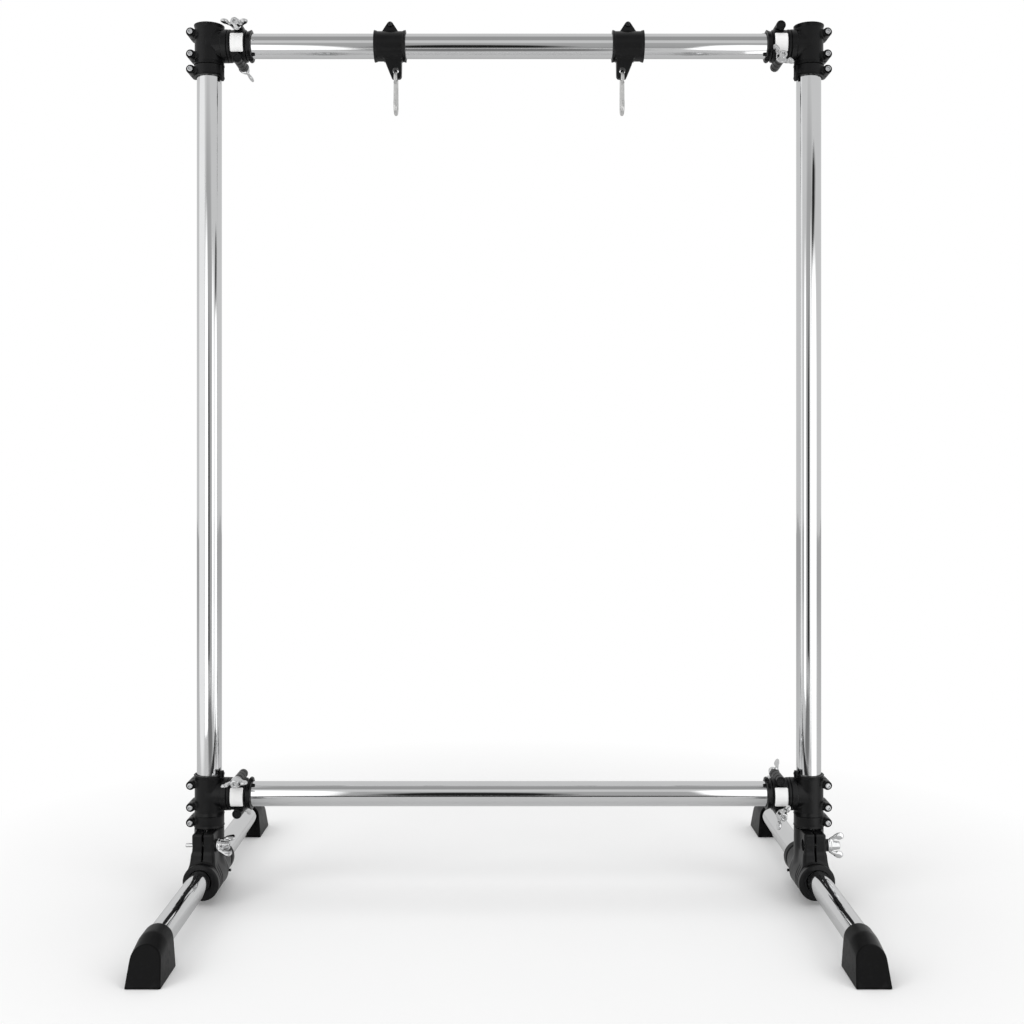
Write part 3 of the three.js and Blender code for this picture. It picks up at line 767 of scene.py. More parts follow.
def plated_steel(shader, finish):
    """Turned bolt steel under thin plate, a little worn."""
    grain = shader.bump(shader.noise(700.0, 3.0, 0.6), 0.15, 0.0002)
    wear = shader.noise(240.0, 4.0).clamped(0.4, 0.7)
    return worn_metal(shader, finish.steel, tinted(finish.steel, 0.7), wear, (0.17, 0.14), grain)


def black_screw(shader, finish):
    """Blackened screw steel, rubbed a little brighter in places."""
    grain = shader.bump(shader.noise(900.0), 0.1, 0.0002)
    wear = shader.noise(500.0, 4.0).clamped(0.5, 0.75)
    black, rubbed = tinted(finish.steel, 0.06), tinted(finish.steel, 0.3)
    return worn_metal(shader, black, rubbed, wear, (0.3, 0.1), grain)


def moulded_nylon(shader, finish):
    """Black nylon with an eroded mould texture, flow marks and a light bloom of dust."""
    texture = shader.noise(1500.0, 3.0, 0.6)
    flow = shader.noise(38.0, 4.0, 0.6).clamped(0.35, 0.75)
    dust = shader.noise(260.0, 5.0, 0.7).clamped(0.58, 0.8)
    dark = shader.mix(finish.nylon, tinted(finish.nylon, 1.7), flow)
    return {
        "Base Color": shader.mix(dark, tinted(finish.nylon, 4.0), dust * 0.35),
        "Roughness": flow * 0.1 + dust * 0.12 + finish.nylon_sheen,
        "Specular IOR Level": 0.25,
        "Normal": shader.bump(texture, 0.07, 0.00025),
    }


def foot_rubber(shader, finish):
    """Dull black rubber, scuffed and dusty towards the sole."""
    pores = shader.noise(1100.0, 4.0, 0.65)
    height = shader.node("ShaderNodeSeparateXYZ", None, {"Vector": shader.coordinates()}, output="Z")
    low = 1.0 - height.clamped(0.0, 0.02)
    scuffs = shader.noise(150.0, 5.0, 0.7).clamped(0.5, 0.72)
    dusty = (low * 0.45 + 0.25) * scuffs
    return {
        "Base Color": shader.mix(finish.rubber, tinted(finish.rubber, 4.5), dusty),
        "Roughness": scuffs * 0.14 + 0.31,
        "Specular IOR Level": 0.09,
        "Normal": shader.bump(pores, 0.06, 0.0003),
    }


def label_paper(shader, finish):
    """A blank coated paper label with a slight mottle."""
    fibre = shader.noise(1800.0, 3.0, 0.6)
    mottle = shader.noise(120.0, 3.0).clamped(0.4, 0.8)
    return {
        "Base Color": shader.mix(finish.label, tinted(finish.label, 0.9), mottle * 0.5),
        "Roughness": mottle * 0.1 + 0.38,
        "Normal": shader.bump(fibre, 0.1, 0.0001),
    }


FINISHES = {
    "rack_chrome": chrome_plate,
    "wing_chrome": cast_plate,
    "hook_chrome": bright_zinc,
    "bolt_steel": plated_steel,
    "clamp_nylon": moulded_nylon,
    "foot_rubber": foot_rubber,
    "label_paper": label_paper,
    "black_screw": black_screw,
}
SLOTS = {part["node"]: part["material_slot"] for part in frame["record"]["subparts"]}


def finish_named(slot_name):
    """The dressed material of a slot, made when it is first asked for."""
    name = f"dressed_{slot_name}"
    return bpy.data.materials.get(name) or principled(name, FINISHES[slot_name])


# Pieces on the frame


def placed(name, mesh, place, slot_name, body):
    """A piece of the stand on a body, with the finish that its mesh already has or its slot's."""
    if not mesh.materials:
        mesh.materials.append(finish_named(slot_name))
    piece = added(name, mesh)
    piece.matrix_world = place if isinstance(place, Matrix) else Matrix.Translation(place)
    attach(piece, body)
    return piece


def body_of(node):
    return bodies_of(frame["nodes"][node])[0]


def turned_mesh(name, mesh, turn):
    """A copy of a mesh that is turned about its origin."""
    copy = mesh.copy()
    copy.name = name
    copy.transform(turn)
    return copy


def stand_for(node, prefix, mesh, place):
    """A piece that takes the place of a CAD node, on the same body and in the same finish."""
    piece = placed(f"{prefix}_{node}", mesh, place, SLOTS[node], body_of(node))
    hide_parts(node)
    return piece


def middle(node):
    """The middle of a node's box."""
    low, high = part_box(node)
    return (low + high) / 2


def leg_axis():
    """Height of the leg tubes' axes and the tubes' radius."""
    low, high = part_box("leg_tube_left")
    return (low.z + high.z) / 2, (high.x - low.x) / 2


def half_turned(spot, turned):
    """A place at a spot, turned half round the vertical axis if asked."""
    return Matrix.Translation(spot) @ Matrix.Rotation(math.pi if turned else 0.0, 4, "Z")


def tee_place(level, side):
    """Where the upright's axis crosses the crossbar's."""
    return Vector((middle(f"upright_{side}").x, 0.0, middle(f"crossbar_{level}").z))


def each_tee():
    """Level, side, label and place of each tee."""
    return [(level, side, f"{level}_{side}", tee_place(level, side)) for level in LEVELS for side in SIDES]


# Tubes


TUBE_RING_STEP = 0.06
PLUG_LIP_SHARE = 0.86
AXIS_SHARE = 0.02


def tube_mesh(name, radius, tube_length, tube):
    """A tube standing on the origin, its ends deburred and its length ringed to keep its shading even."""
    r = tube.end_round
    inner = radius - tube.wall
    guard = 2 * r
    bend = [(1.0 - math.cos(a), 1.0 - math.sin(a)) for a in np.linspace(0.0, math.pi / 2, 4)]
    rings = np.linspace(guard, tube_length - guard, max(int(tube_length / TUBE_RING_STEP), 2))
    outside = [(radius - r * out, r * up) for out, up in bend[::-1]]
    outside += [(radius, h) for h in rings]
    outside += [(radius - r * out, tube_length - r * up) for out, up in bend]
    inside = [(inner + r * out, tube_length - r * up) for out, up in bend[::-1]]
    inside += [(inner, h) for h in rings[[-1, 0]]]
    inside += [(inner + r * out, r * up) for out, up in bend]
    return revolved(name, outside + inside)


def plug_mesh(name, radius, tube):
    """A black plug with a dished top that fills the upright's end."""
    depth = tube.plug_depth
    lip, middle_radius = radius * PLUG_LIP_SHARE, radius * AXIS_SHARE
    profile = [
        (middle_radius, -depth),
        (radius, -depth),
        (radius, -0.0008),
        (radius - 0.0003, -0.0002),
        (radius - 0.0009, 0.0),
        (lip, 0.0),
        (lip - 0.0006, -0.0003),
        (lip * 0.5, -0.0009),
        (middle_radius, -0.0011),
    ]
    return revolved(name, profile, 64)


class GONG_OT_tubes(Operator):
    """Build the uprights with their plugs, the crossbars and the leg tubes"""

    bl_idname = "gong_stand.tubes"
    bl_label = "Tubes"

    def execute(self, context):
        tube = settings().tube
        nodes = [f"upright_{side}" for side in SIDES]
        nodes += [f"crossbar_{level}" for level in LEVELS]
        nodes += [f"leg_tube_{side}" for side in SIDES]
        for node in nodes:
            low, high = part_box(node)
            size = high - low
            along = max(range(3), key=lambda i: size[i])
            radius = min(size) / 2
            turn = {
                0: Matrix.Rotation(math.pi / 2, 4, "Y"),
                1: Matrix.Rotation(-math.pi / 2, 4, "X"),
                2: Matrix.Identity(4),
            }[along]
            start = (low + high) / 2
            start[along] = low[along]
            mesh = tube_mesh(f"tube_of_{node}", radius, size[along], tube)
            stand_for(node, "chrome", mesh, Matrix.Translation(start) @ turn)
        for side in SIDES:
            node = f"upright_{side}"
            low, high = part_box(node)
            mesh = plug_mesh(f"plug_of_{node}", (high.x - low.x) / 2 - tube.wall - SLIP / 2, tube)
            top = Vector((middle(node).x, 0.0, high.z - tube.plug_recess))
            placed(f"plug_{side}", mesh, top, "clamp_nylon", body_of(node))
        return {"FINISHED"}


# Tee clamps


BOLT_HOLE = 0.0033
SLIT_HALF = 0.001
LUG_WEB_SHARE = 0.66
SEAT_RADIUS, SEAT_DEPTH = 0.0052, 0.0008
KEY_RISE, KEY_HALF, KEY_TURN = 0.0024, 0.0035, -20
KEY_ROOT, KEY_REACH = 0.0045, 0.0065
KEY_ROOM, KEY_ROOM_ABOVE, KEY_ROOM_BELOW = 0.003, 0.0075, 0.007
RIM_EDGE_SHARE = 0.7
BAND_GROOVE, BAND_GROOVE_DEPTH = 0.0006, 0.0007
BOSS_GROOVE_HALF, BOSS_GROOVE_DEPTH = 0.0008, 0.001
CUP_DEPTH, CUP_SHARE = 0.0012, 0.68
ARM_WEB_HALF = 0.0042
LABEL_CORNER = 0.0016
LABEL_RISES = (0.00028, 0.00006)
TEE_PITCH = 0.9


def flared(form, axis, half, width, radii, fillet, edge, at=(0.0, 0.0)):
    """The form with both its ends flared over a width, from the first radius to the second."""
    for end in (1, -1):
        rim = rod(axis, (end * (half - width), end * half), radii[0], at, edge, radii[1])
        form = form.joined(rim, fillet)
    return form


def bored(form, clamp, axis, span, fillet=0.0006):
    """The form with a tube's bore cut past both ends of a span."""
    low, high = span
    return form.cut(rod(axis, (low - OVERRUN, high + OVERRUN), clamp.bore_radius, edge=0.0), fillet)


def pinch_lug(clamp, height):
    """A round lug along Y beside the sleeve and the web that carries it."""
    half, out = clamp.lug_half, -clamp.lug_offset
    web = clamp.lug_radius * LUG_WEB_SHARE
    lug = rod("y", (-half, half), clamp.lug_radius, (out, height), clamp.edge)
    span = (-half + OVERRUN, half - OVERRUN)
    arm = block((out, -clamp.sleeve_radius / 2), span, (height - web, height + web), clamp.edge)
    seat = rod("y", (-half - OVERRUN, -half + SEAT_DEPTH), SEAT_RADIUS, (out, height), 0.0001)
    return lug.joined(arm, clamp.fillet).cut(seat, 0.0004)


def pinched(form, clamp, heights, end):
    """The form with its slit and its pinch bolt holes."""
    out = -clamp.lug_offset
    slit = (out - clamp.lug_radius - OVERRUN, OVERRUN - clamp.bore_radius)
    form = form.cut(block(slit, (-SLIT_HALF, SLIT_HALF), (-end, end), 0.0), 0.0005)
    reach = clamp.lug_half + OVERRUN
    for height in heights:
        form = form.cut(rod("y", (-reach, reach), BOLT_HOLE, (out, height), 0.0), 0.0003)
    return form


def keyed(form, clamp, low, high):
    """The form with the key on its inner front side that engages a lock ring."""
    across = (clamp.sleeve_radius - OVERRUN, clamp.sleeve_radius + KEY_RISE)
    key = block(across, (-KEY_HALF, KEY_HALF), (low, high), clamp.edge).turned(KEY_TURN)
    return form.joined(key, 0.0008)


def arm_boss(clamp, side, up):
    """A grooved boss round an arm bolt, with a cup in its end and the web that carries it."""
    reach, groove, radius = clamp.boss_reach, clamp.boss_groove, clamp.boss_radius
    at = (clamp.bolt_along, up * clamp.bolt_height)
    boss = rod("y", (0.0, side * reach), radius, at, clamp.edge)
    span = (side * (groove - BOSS_GROOVE_HALF), side * (groove + BOSS_GROOVE_HALF))
    ring = rod("y", span, radius + OVERRUN, at, 0.0)
    ring = ring.cut(rod("y", (0.0, side * reach), radius - BOSS_GROOVE_DEPTH, at, 0.0))
    span = (side * (reach - CUP_DEPTH), side * (reach + OVERRUN))
    cup = rod("y", span, radius * CUP_SHARE, at, 0.0002)
    across = (clamp.bolt_along - ARM_WEB_HALF, clamp.bolt_along + ARM_WEB_HALF)
    span = (0.0, side * (clamp.shell_radius - OVERRUN))
    web = block(across, span, (up * clamp.bolt_height, up * clamp.bore_radius), clamp.edge)
    return boss.cut(ring, 0.0003).cut(cup, 0.0003).joined(web, 0.001)


def arm_shell(clamp, side):
    """One half of the split arm with its bolt bosses; side is -1 at the front and 1 at the back."""
    start, lead = (clamp.neck_end, OVERRUN) if side > 0 else (clamp.neck_end + SLIP, 0.0)
    shell = rod("x", (start - lead, clamp.shell_end), clamp.shell_radius, edge=clamp.edge)
    band_end = clamp.neck_end + clamp.band_width
    band_radius = clamp.shell_radius + clamp.band_rise
    shell = shell.joined(rod("x", (start, band_end), band_radius, edge=clamp.edge), 0.0003)
    shell = shell.scored("x", (clamp.neck_end, band_end), BAND_GROOVE, BAND_GROOVE_DEPTH)
    for up in (1, -1):
        shell = shell.joined(arm_boss(clamp, side, up), clamp.fillet)
    return shell.within(half_space("y", side, side * PARTING / 2), 0.0006)


def seated(form, clamp, front_up):
    """The form with the crossbar's seat and the arm bolts' blind holes cut in it.

    The upper bolt goes in from the front where front_up is 1 and from the back where it is -1.
    """
    seat = rod("x", (clamp.bar_stop, clamp.shell_end + OVERRUN), clamp.bore_radius, edge=0.0)
    form = form.cut(seat, 0.0004)
    reach, stop = clamp.boss_reach + OVERRUN, clamp.boss_reach - clamp.blind
    for up in (1, -1):
        at = (clamp.bolt_along, up * clamp.bolt_height)
        winged = -up * front_up
        form = form.cut(rod("y", (winged * reach, -winged * stop), BOLT_HOLE, at, 0.0))
    return form


def tee_body(clamp, with_key, front_up):
    """Sleeve, neck and the arm's back half, with the arm toward +X."""
    half, radius, edge = clamp.sleeve_half, clamp.sleeve_radius, clamp.edge
    rims = (radius, radius + clamp.rim_flare)
    sleeve = rod("z", (-half, half), radius, edge=edge)
    sleeve = flared(sleeve, "z", half, clamp.rim_width, rims, 0.0008, edge * RIM_EDGE_SHARE)
    whole = sleeve.joined(rod("x", (0.0, clamp.neck_end), radius), clamp.fillet * 0.6)
    neck = rod("x", (clamp.neck_start, clamp.neck_end), clamp.neck_radius, edge=edge)
    whole = joined([whole, neck, arm_shell(clamp, 1)], clamp.fillet * 0.4)
    for up in (1, -1):
        whole = whole.joined(pinch_lug(clamp, up * clamp.lug_height), clamp.fillet)
    top = half
    if with_key:
        top = half + KEY_REACH
        whole = keyed(whole, clamp, half - KEY_ROOT, top)
    whole = seated(bored(whole, clamp, "z", (-half, top)), clamp, front_up)
    return pinched(whole, clamp, (-clamp.lug_height, clamp.lug_height), top + OVERRUN)


def label_mesh(clamp):
    """A blank label bent round the front of the arm, with rounded corners and a thickness of its own."""
    columns, rows = 14, 28
    straight = clamp.label_half - LABEL_CORNER
    half_width = (clamp.label_end - clamp.label_start) / 2
    centre = (clamp.label_start + clamp.label_end) / 2
    points = []
    for rise in LABEL_RISES:
        radius = clamp.shell_radius + rise
        for v in np.linspace(-1.0, 1.0, rows + 1):
            height = v * clamp.label_half
            into = max(abs(height) - straight, 0.0)
            width = half_width - LABEL_CORNER + math.sqrt(max(LABEL_CORNER**2 - into**2, 0.0))
            for u in np.linspace(-1.0, 1.0, columns + 1):
                points.append((centre + u * width, -math.sqrt(radius**2 - height**2), height))
    grid = np.arange((rows + 1) * (columns + 1)).reshape(rows + 1, columns + 1)
    faces = []
    for i in range(rows):
        for j in range(columns):
            quad = [grid[i, j], grid[i, j + 1], grid[i + 1, j + 1], grid[i + 1, j]]
            faces.append(quad)
            faces.append([grid.size + k for k in quad[::-1]])
    rim = [*grid[0], *grid[1:, -1], *grid[-1, -2::-1], *grid[-2:0:-1, 0]]
    for here, there in zip(rim, rim[1:] + rim[:1]):
        faces.append([there, here, grid.size + here, grid.size + there])
    return new_mesh("label_left", points, faces)


class GONG_OT_tee_clamps(Operator):
    """Build the tee clamps, their front covers and the blank labels"""

    bl_idname = "gong_stand.tee_clamps"
    bl_label = "Tee clamps"

    def execute(self, context):
        clamp = settings().clamp
        reach = clamp.lug_offset + clamp.lug_radius
        wide = clamp.boss_reach
        tall = clamp.bolt_height + clamp.boss_radius
        labels = both_hands("label", label_mesh(clamp))
        covers = {}
        for side, sign in SIDES.items():
            cover = seated(arm_shell(clamp, -1), clamp, -sign)
            low, high = (clamp.neck_end, -wide, -tall), (clamp.shell_end, 0.0, tall)
            mesh = moulded("tee_cover", cover, low, high, TEE_PITCH)
            covers[side] = both_hands("tee_cover", mesh)[side]
        for level, side, label, place in each_tee():
            body = tee_body(clamp, level == "bottom", -SIDES[side])
            low = (-reach, -clamp.neck_radius, -tall)
            high = (clamp.shell_end, wide, clamp.sleeve_half + KEY_ROOM_ABOVE)
            mesh = moulded(f"tee_body_{label}", body, low, high, TEE_PITCH)
            mesh = both_hands(f"tee_body_{label}", mesh)[side]
            stand_for(f"tee_clamp_{label}", "nylon", mesh, place)
            stand_for(f"tee_cover_{label}", "nylon", covers[side], place)
            placed(f"label_{label}", labels[side], place, "label_paper", body_of(f"tee_cover_{label}"))
        return {"FINISHED"}


# Lock rings


RING_RIM_WIDTH, RING_RIM_FLARE = 0.003, 0.0009
BAR_LIP_WIDTH, BAR_RING_EDGE = 0.0045, 0.0007
KNOB_ALONG, KNOB_HEIGHT, KNOB_RADIUS = 0.0084, 0.0242, 0.0037
KNOB_SPAN, KNOB_SLOT_SPAN = (-0.0158, -0.005), (-0.0175, -0.0151)
KNOB_SLOT_REACH, KNOB_SLOT_HALF = 0.003, 0.0005
KNOB_LENGTH, KNOB_REACH = 0.0125, 0.0285
BAR_RING_PITCH = 0.8


def upright_ring(clamp, with_key):
    """A split ring round the upright with its own pinch lug."""
    half, radius = clamp.ring_half, clamp.ring_radius
    span, flare = (-half + RING_RIM_WIDTH, -half), radius + RING_RIM_FLARE
    rim = rod("z", span, radius, edge=clamp.edge * RIM_EDGE_SHARE, end_radius=flare)
    ring = rod("z", (-half, half), radius, edge=clamp.edge).joined(rim, 0.0008)
    ring = ring.joined(pinch_lug(clamp, 0.0), clamp.fillet)
    low = -half
    if with_key:
        low = -half - KEY_REACH
        ring = keyed(ring, clamp, low, half)
    return pinched(bored(ring, clamp, "z", (low, half)), clamp, (0.0,), half + OVERRUN)


def bar_ring(clamp, knob_up):
    """A ring round the crossbar with a lip and a small screw lug, along X from its tee side."""
    width, radius = clamp.bar_ring_width, clamp.bar_ring_radius
    ring = rod("x", (0.0, width), radius, edge=BAR_RING_EDGE)
    lip = rod("x", (width - BAR_LIP_WIDTH, width), radius, edge=BAR_RING_EDGE, end_radius=clamp.bar_ring_lip)
    along, height = KNOB_ALONG, knob_up * KNOB_HEIGHT
    knob = rod("y", KNOB_SPAN, KNOB_RADIUS, (along, height), 0.0011)
    across = (along - KNOB_SLOT_REACH, along + KNOB_SLOT_REACH)
    slot = block(across, KNOB_SLOT_SPAN, (height - KNOB_SLOT_HALF, height + KNOB_SLOT_HALF), 0.0)
    return bored(joined([ring, lip, knob.cut(slot)], 0.0014), clamp, "x", (0.0, width), 0.0005)


class GONG_OT_lock_rings(Operator):
    """Build the lock rings on the uprights and on the crossbars"""

    bl_idname = "gong_stand.lock_rings"
    bl_label = "Lock rings"

    def execute(self, context):
        clamp = settings().clamp
        reach = clamp.lug_offset + clamp.lug_radius
        round_ = clamp.ring_radius + KEY_ROOM
        for level in LEVELS:
            at_top = level == "top"
            low = (-reach, -round_, -clamp.ring_half - KEY_ROOM_BELOW)
            high = (round_, round_, clamp.ring_half)
            mesh = moulded("upright_ring", upright_ring(clamp, at_top), low, high)
            rings = both_hands("upright_ring", mesh)
            knob_up = -1 if at_top else 1
            low = (0.0, -KNOB_REACH, -KNOB_REACH)
            high = (KNOB_LENGTH, KNOB_REACH, KNOB_REACH)
            mesh = moulded("bar_ring", bar_ring(clamp, knob_up), low, high, BAR_RING_PITCH)
            bar_rings = both_hands("bar_ring", mesh)
            for side, sign in SIDES.items():
                place = tee_place(level, side)
                node = f"upright_lock_{level}_{side}"
                spot = Vector((place.x, 0.0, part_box(node)[1].z - clamp.ring_half))
                stand_for(node, "nylon", rings[side], spot)
                node = f"bar_lock_{level}_{side}"
                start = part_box(node)[sign > 0].x
                stand_for(node, "nylon", bar_rings[side], Vector((start, 0.0, place.z)))
        return {"FINISHED"}


# Bolts


BOLT_RADIUS = 0.003
BOLT_HEAD_HEIGHT, BOLT_HEAD_RADIUS, BOLT_HEAD_ROUND = 0.003, 0.0042, 0.0016
SOCKET_ACROSS, SOCKET_FLOOR = 0.0044, 0.0006
NUT_ACROSS, NUT_HEIGHT, NUT_ROUND = 0.0076, 0.004, 0.0047
BOLT_TAIL = 0.005
SCREW_HEAD_HEIGHT, SCREW_HEAD_RADIUS, SCREW_RADIUS = 0.0016, 0.0034, 0.002
CROSS_REACH, CROSS_HALF, CROSS_FLOOR = 0.002, 0.0004, 0.0009
BOLT_ROOM, BOLT_END_ROOM = 0.005, 0.0065
SCREW_BOX, SCREW_PITCH = ((-0.004, -0.009, -0.004), (0.004, 0.0075, 0.004)), 0.8


def hexagon(across, turn=0.0):
    """Corners of a hexagon by its width across the flats."""
    reach = across / math.sqrt(3)
    return [(reach * math.cos(a), reach * math.sin(a)) for a in np.radians(np.arange(6) * 60 + turn)]


def pinch_bolt(clamp):
    """A socket-headed pinch bolt along Y with its nut at the back."""
    seat = clamp.lug_half + SLIP
    head = rod("y", (-seat - BOLT_HEAD_HEIGHT, -seat + 0.0006), BOLT_HEAD_RADIUS, edge=BOLT_HEAD_ROUND)
    socket = plate("y", hexagon(SOCKET_ACROSS), (-seat - 0.004, -seat - SOCKET_FLOOR), 0.0, 0.0)
    shank = rod("y", (-seat - 0.0005, seat + BOLT_TAIL), BOLT_RADIUS, edge=0.0005)
    nut = plate("y", hexagon(NUT_ACROSS, 30), (seat, seat + NUT_HEIGHT), 0.0, 0.0002)
    nut = nut.within(rod("y", (seat, seat + 0.0042), NUT_ROUND, edge=0.0009))
    return joined([head.cut(socket, 0.0002), shank, nut])


def hanger_screw(hanger):
    """A small cross-slotted screw through the hanger's ear."""
    seat = hanger.ear_half + SLIP
    head = rod("y", (-seat - SCREW_HEAD_HEIGHT, -seat), SCREW_HEAD_RADIUS, edge=0.0007)
    long, short = (-CROSS_REACH, CROSS_REACH), (-CROSS_HALF, CROSS_HALF)
    deep = (-seat - 0.003, -seat - CROSS_FLOOR)
    cross = block(long, deep, short, 0.0).joined(block(short, deep, long, 0.0))
    shank = rod("y", (-seat - 0.0004, seat), SCREW_RADIUS, edge=0.0004)
    return head.cut(cross, 0.0002).joined(shank)


class GONG_OT_bolts(Operator):
    """Build the pinch bolts and the hanger screws"""

    bl_idname = "gong_stand.bolts"
    bl_label = "Bolts and screws"

    def execute(self, context):
        stand = settings()
        wide, reach = BOLT_ROOM, stand.clamp.lug_half + BOLT_END_ROOM
        box = (-wide, -reach, -wide), (wide, reach, wide)
        bolt = small("pinch_bolt", pinch_bolt(stand.clamp), *box)
        screw = small("hanger_screw", hanger_screw(stand.hanger), *SCREW_BOX, SCREW_PITCH)
        screw.materials.append(finish_named("black_screw"))
        meshes = {}
        for _level, _side, label, _place in each_tee():
            nodes = (f"sleeve_bolt_{label}_upper", f"sleeve_bolt_{label}_lower", f"lock_bolt_{label}")
            meshes.update(dict.fromkeys(nodes, bolt))
        meshes.update({f"hanger_screw_{side}": screw for side in SIDES})
        for node, mesh in meshes.items():
            spot = middle(node)
            stand_for(node, "steel", mesh, Vector((spot.x, 0.0, spot.z)))
        return {"FINISHED"}


COLLAR_HEIGHT, COLLAR_RISE = 0.0035, 0.0006
# Corners of a wing's arm and of its ear, as shares of the ear's place out and up
WING_ARM = [(0.15, 0.18), (0.62, 0.2), (0.95, 0.62), (1.0, 1.0)]
WING_EAR = [(1.0, 1.0), (0.97, 0.9)]


def wing_bolt(wing, shank, washer=None):
    """A cast wing bolt standing on the origin, its shank below and its wings curving off the hub."""
    hub = rod("z", (0.0, wing.hub_height), wing.hub_radius, edge=0.0012, end_radius=wing.hub_top_radius)
    collar = rod("z", (0.0, COLLAR_HEIGHT), wing.hub_radius + COLLAR_RISE, edge=0.0008)
    whole = hub.joined(collar, 0.001)
    thick = wing.thickness / 2
    ear = wing.ear_radius
    out, up = wing.half_span - ear, wing.rise - ear
    for sign in (1, -1):
        bend, lobe = ([(sign * (x * out), z * up) for x, z in path] for path in (WING_ARM, WING_EAR))
        arm = strap("y", bend, wing.arm_radius, thick, thick * 0.9)
        whole = whole.joined(arm.joined(strap("y", lobe, ear, thick * 0.86, thick * 0.8), 0.003), 0.0032)
    whole = whole.joined(rod("z", (-shank, 0.001), wing.shank_radius, edge=0.0005), 0.0004)
    if washer:
        radius, thickness = washer
        whole = whole.joined(rod("z", (-thickness, 0.0003), radius, edge=0.0003), 0.0003)
    depth = (wing.hub_height - wing.hole_depth, wing.hub_height + OVERRUN)
    return whole.cut(rod("z", depth, wing.hole_radius, edge=0.0), 0.0006)


class GONG_OT_wing_bolts(Operator):
    """Build the wing bolts of the tee arms and of the leg brackets"""

    bl_idname = "gong_stand.wing_bolts"
    bl_label = "Wing bolts"

    def execute(self, context):
        stand = settings()
        wing, clamp, bracket = stand.wing, stand.clamp, stand.bracket
        wide = wing.half_span + 0.0005
        across = wing.hub_radius + 0.001
        shank = 2 * clamp.boss_reach - clamp.blind - SLIP
        low, high = (-wide, -across, -shank), (wide, across, wing.rise)
        arm_bolt = skin("arm_wing_bolt", wing_bolt(wing, shank), low, high, CAST_PITCH, CAST_SHARE)
        for _level, side, label, place in each_tee():
            sign = SIDES[side]
            for up in (1, -1):
                face = "front" if up * sign < 0 else "back"
                out = FACES[face]
                reach = out * (clamp.boss_reach + SLIP)
                spot = place + Vector((-sign * clamp.bolt_along, reach, up * clamp.bolt_height))
                turn = Matrix.Rotation(-out * math.pi / 2, 4, "X")
                turn = turn @ Matrix.Rotation(math.radians(WING_TURNS[label][face]), 4, "Z")
                node = f"arm_wing_bolt_{label}_{face}"
                stand_for(node, "cast", turned_mesh(node, arm_bolt, turn), spot)
        washer = (bracket.washer_radius, bracket.washer_thickness)
        far = bracket.washer_radius + 0.0005
        for side, sign in SIDES.items():
            node = f"leg_wing_bolt_{side}"
            start = bracket.jaw_half + JAW_BOSS_RISE + SLIP + bracket.washer_thickness
            tail = bracket.tail if sign < 0 else -bracket.recess_depth
            shank = start + bracket.jaw_half + tail
            low, high = (-wide, -far, -shank), (wide, far, wing.rise)
            mesh = skin(node, wing_bolt(wing, shank, washer), low, high, CAST_PITCH, CAST_SHARE)
            spot = Vector((middle(f"upright_{side}").x + start, -bracket.bolt_reach, bracket.bolt_height))
            turn = Matrix.Rotation(math.pi / 2, 4, "Y")
            turn = turn @ Matrix.Rotation(math.radians(LEG_WING_TURNS[side]), 4, "Z")
            stand_for(node, "cast", turned_mesh(node, mesh, turn), spot)
        return {"FINISHED"}


# Hangers and hooks


LIP_WIDTH, LIP_STEP, LIP_EDGE = 0.0044, 0.0006, 0.0007
EAR_FOOT, EAR_RING_DEPTH, EAR_RING_RADIUS, SCREW_HOLE = 0.012, 0.0007, 0.0042, 0.0023
LUG_OUTER, LUG_BOTTOM_OUTER, LUG_BOTTOM_INNER, LUG_INNER = -0.0085, 0.0029, 0.0152, 0.0176
LUG_CHAMFER, LUG_TAPER_START, LUG_TAPER_END = 0.0028, 0.0165, 0.006
LEDGE_SPAN, LEDGE_RISE, LEDGE_TOP = (-0.0105, 0.0195), 0.0012, -0.017
HANGER_PITCH = 0.7


def hanger_ear(hanger, edge, centre):
    """The screwed ear on top of a hanger, with a ring pressed round its screw at a height."""
    wide, half, waist = hanger.ear_width / 2, hanger.ear_half, hanger.waist_radius
    outline = [(-wide, EAR_FOOT), (wide, EAR_FOOT), (wide, waist)]
    outline += arc((0.0, centre), hanger.ear_tip, 28, 152, 8)
    outline.append((-wide, waist))
    ring = rod("y", (-half - 0.001, -half + EAR_RING_DEPTH), EAR_RING_RADIUS, (0.0, centre), 0.0)
    return plate("y", outline, (-half, half), 0.0006, edge).cut(ring, 0.0004)


def hanger_lug(hanger, edge):
    """The lug that carries the eye, thinner toward its foot."""
    root, thin, bottom = hanger.lug_root, hanger.lug_half, -hanger.lug_bottom
    outline = [
        (LUG_OUTER, -EAR_FOOT),
        (LUG_OUTER, -hanger.waist_radius),
        (LUG_BOTTOM_OUTER, bottom),
        (LUG_BOTTOM_INNER, bottom),
        (LUG_INNER, bottom + LUG_CHAMFER),
        (LUG_INNER, -EAR_FOOT),
    ]
    taper_end = -hanger.eye_drop + LUG_TAPER_END
    depths = [(thin, bottom - OVERRUN), (thin, taper_end), (root, -LUG_TAPER_START), (root, 0.0)]
    wedge = hull([(sign * depth, height) for sign in (1, -1) for depth, height in depths])
    tapered = plate("x", wedge, (-0.03, 0.03), 0.002, 0.0)
    return plate("y", outline, (-root, root), 0.0016, edge).within(tapered, 0.0012)


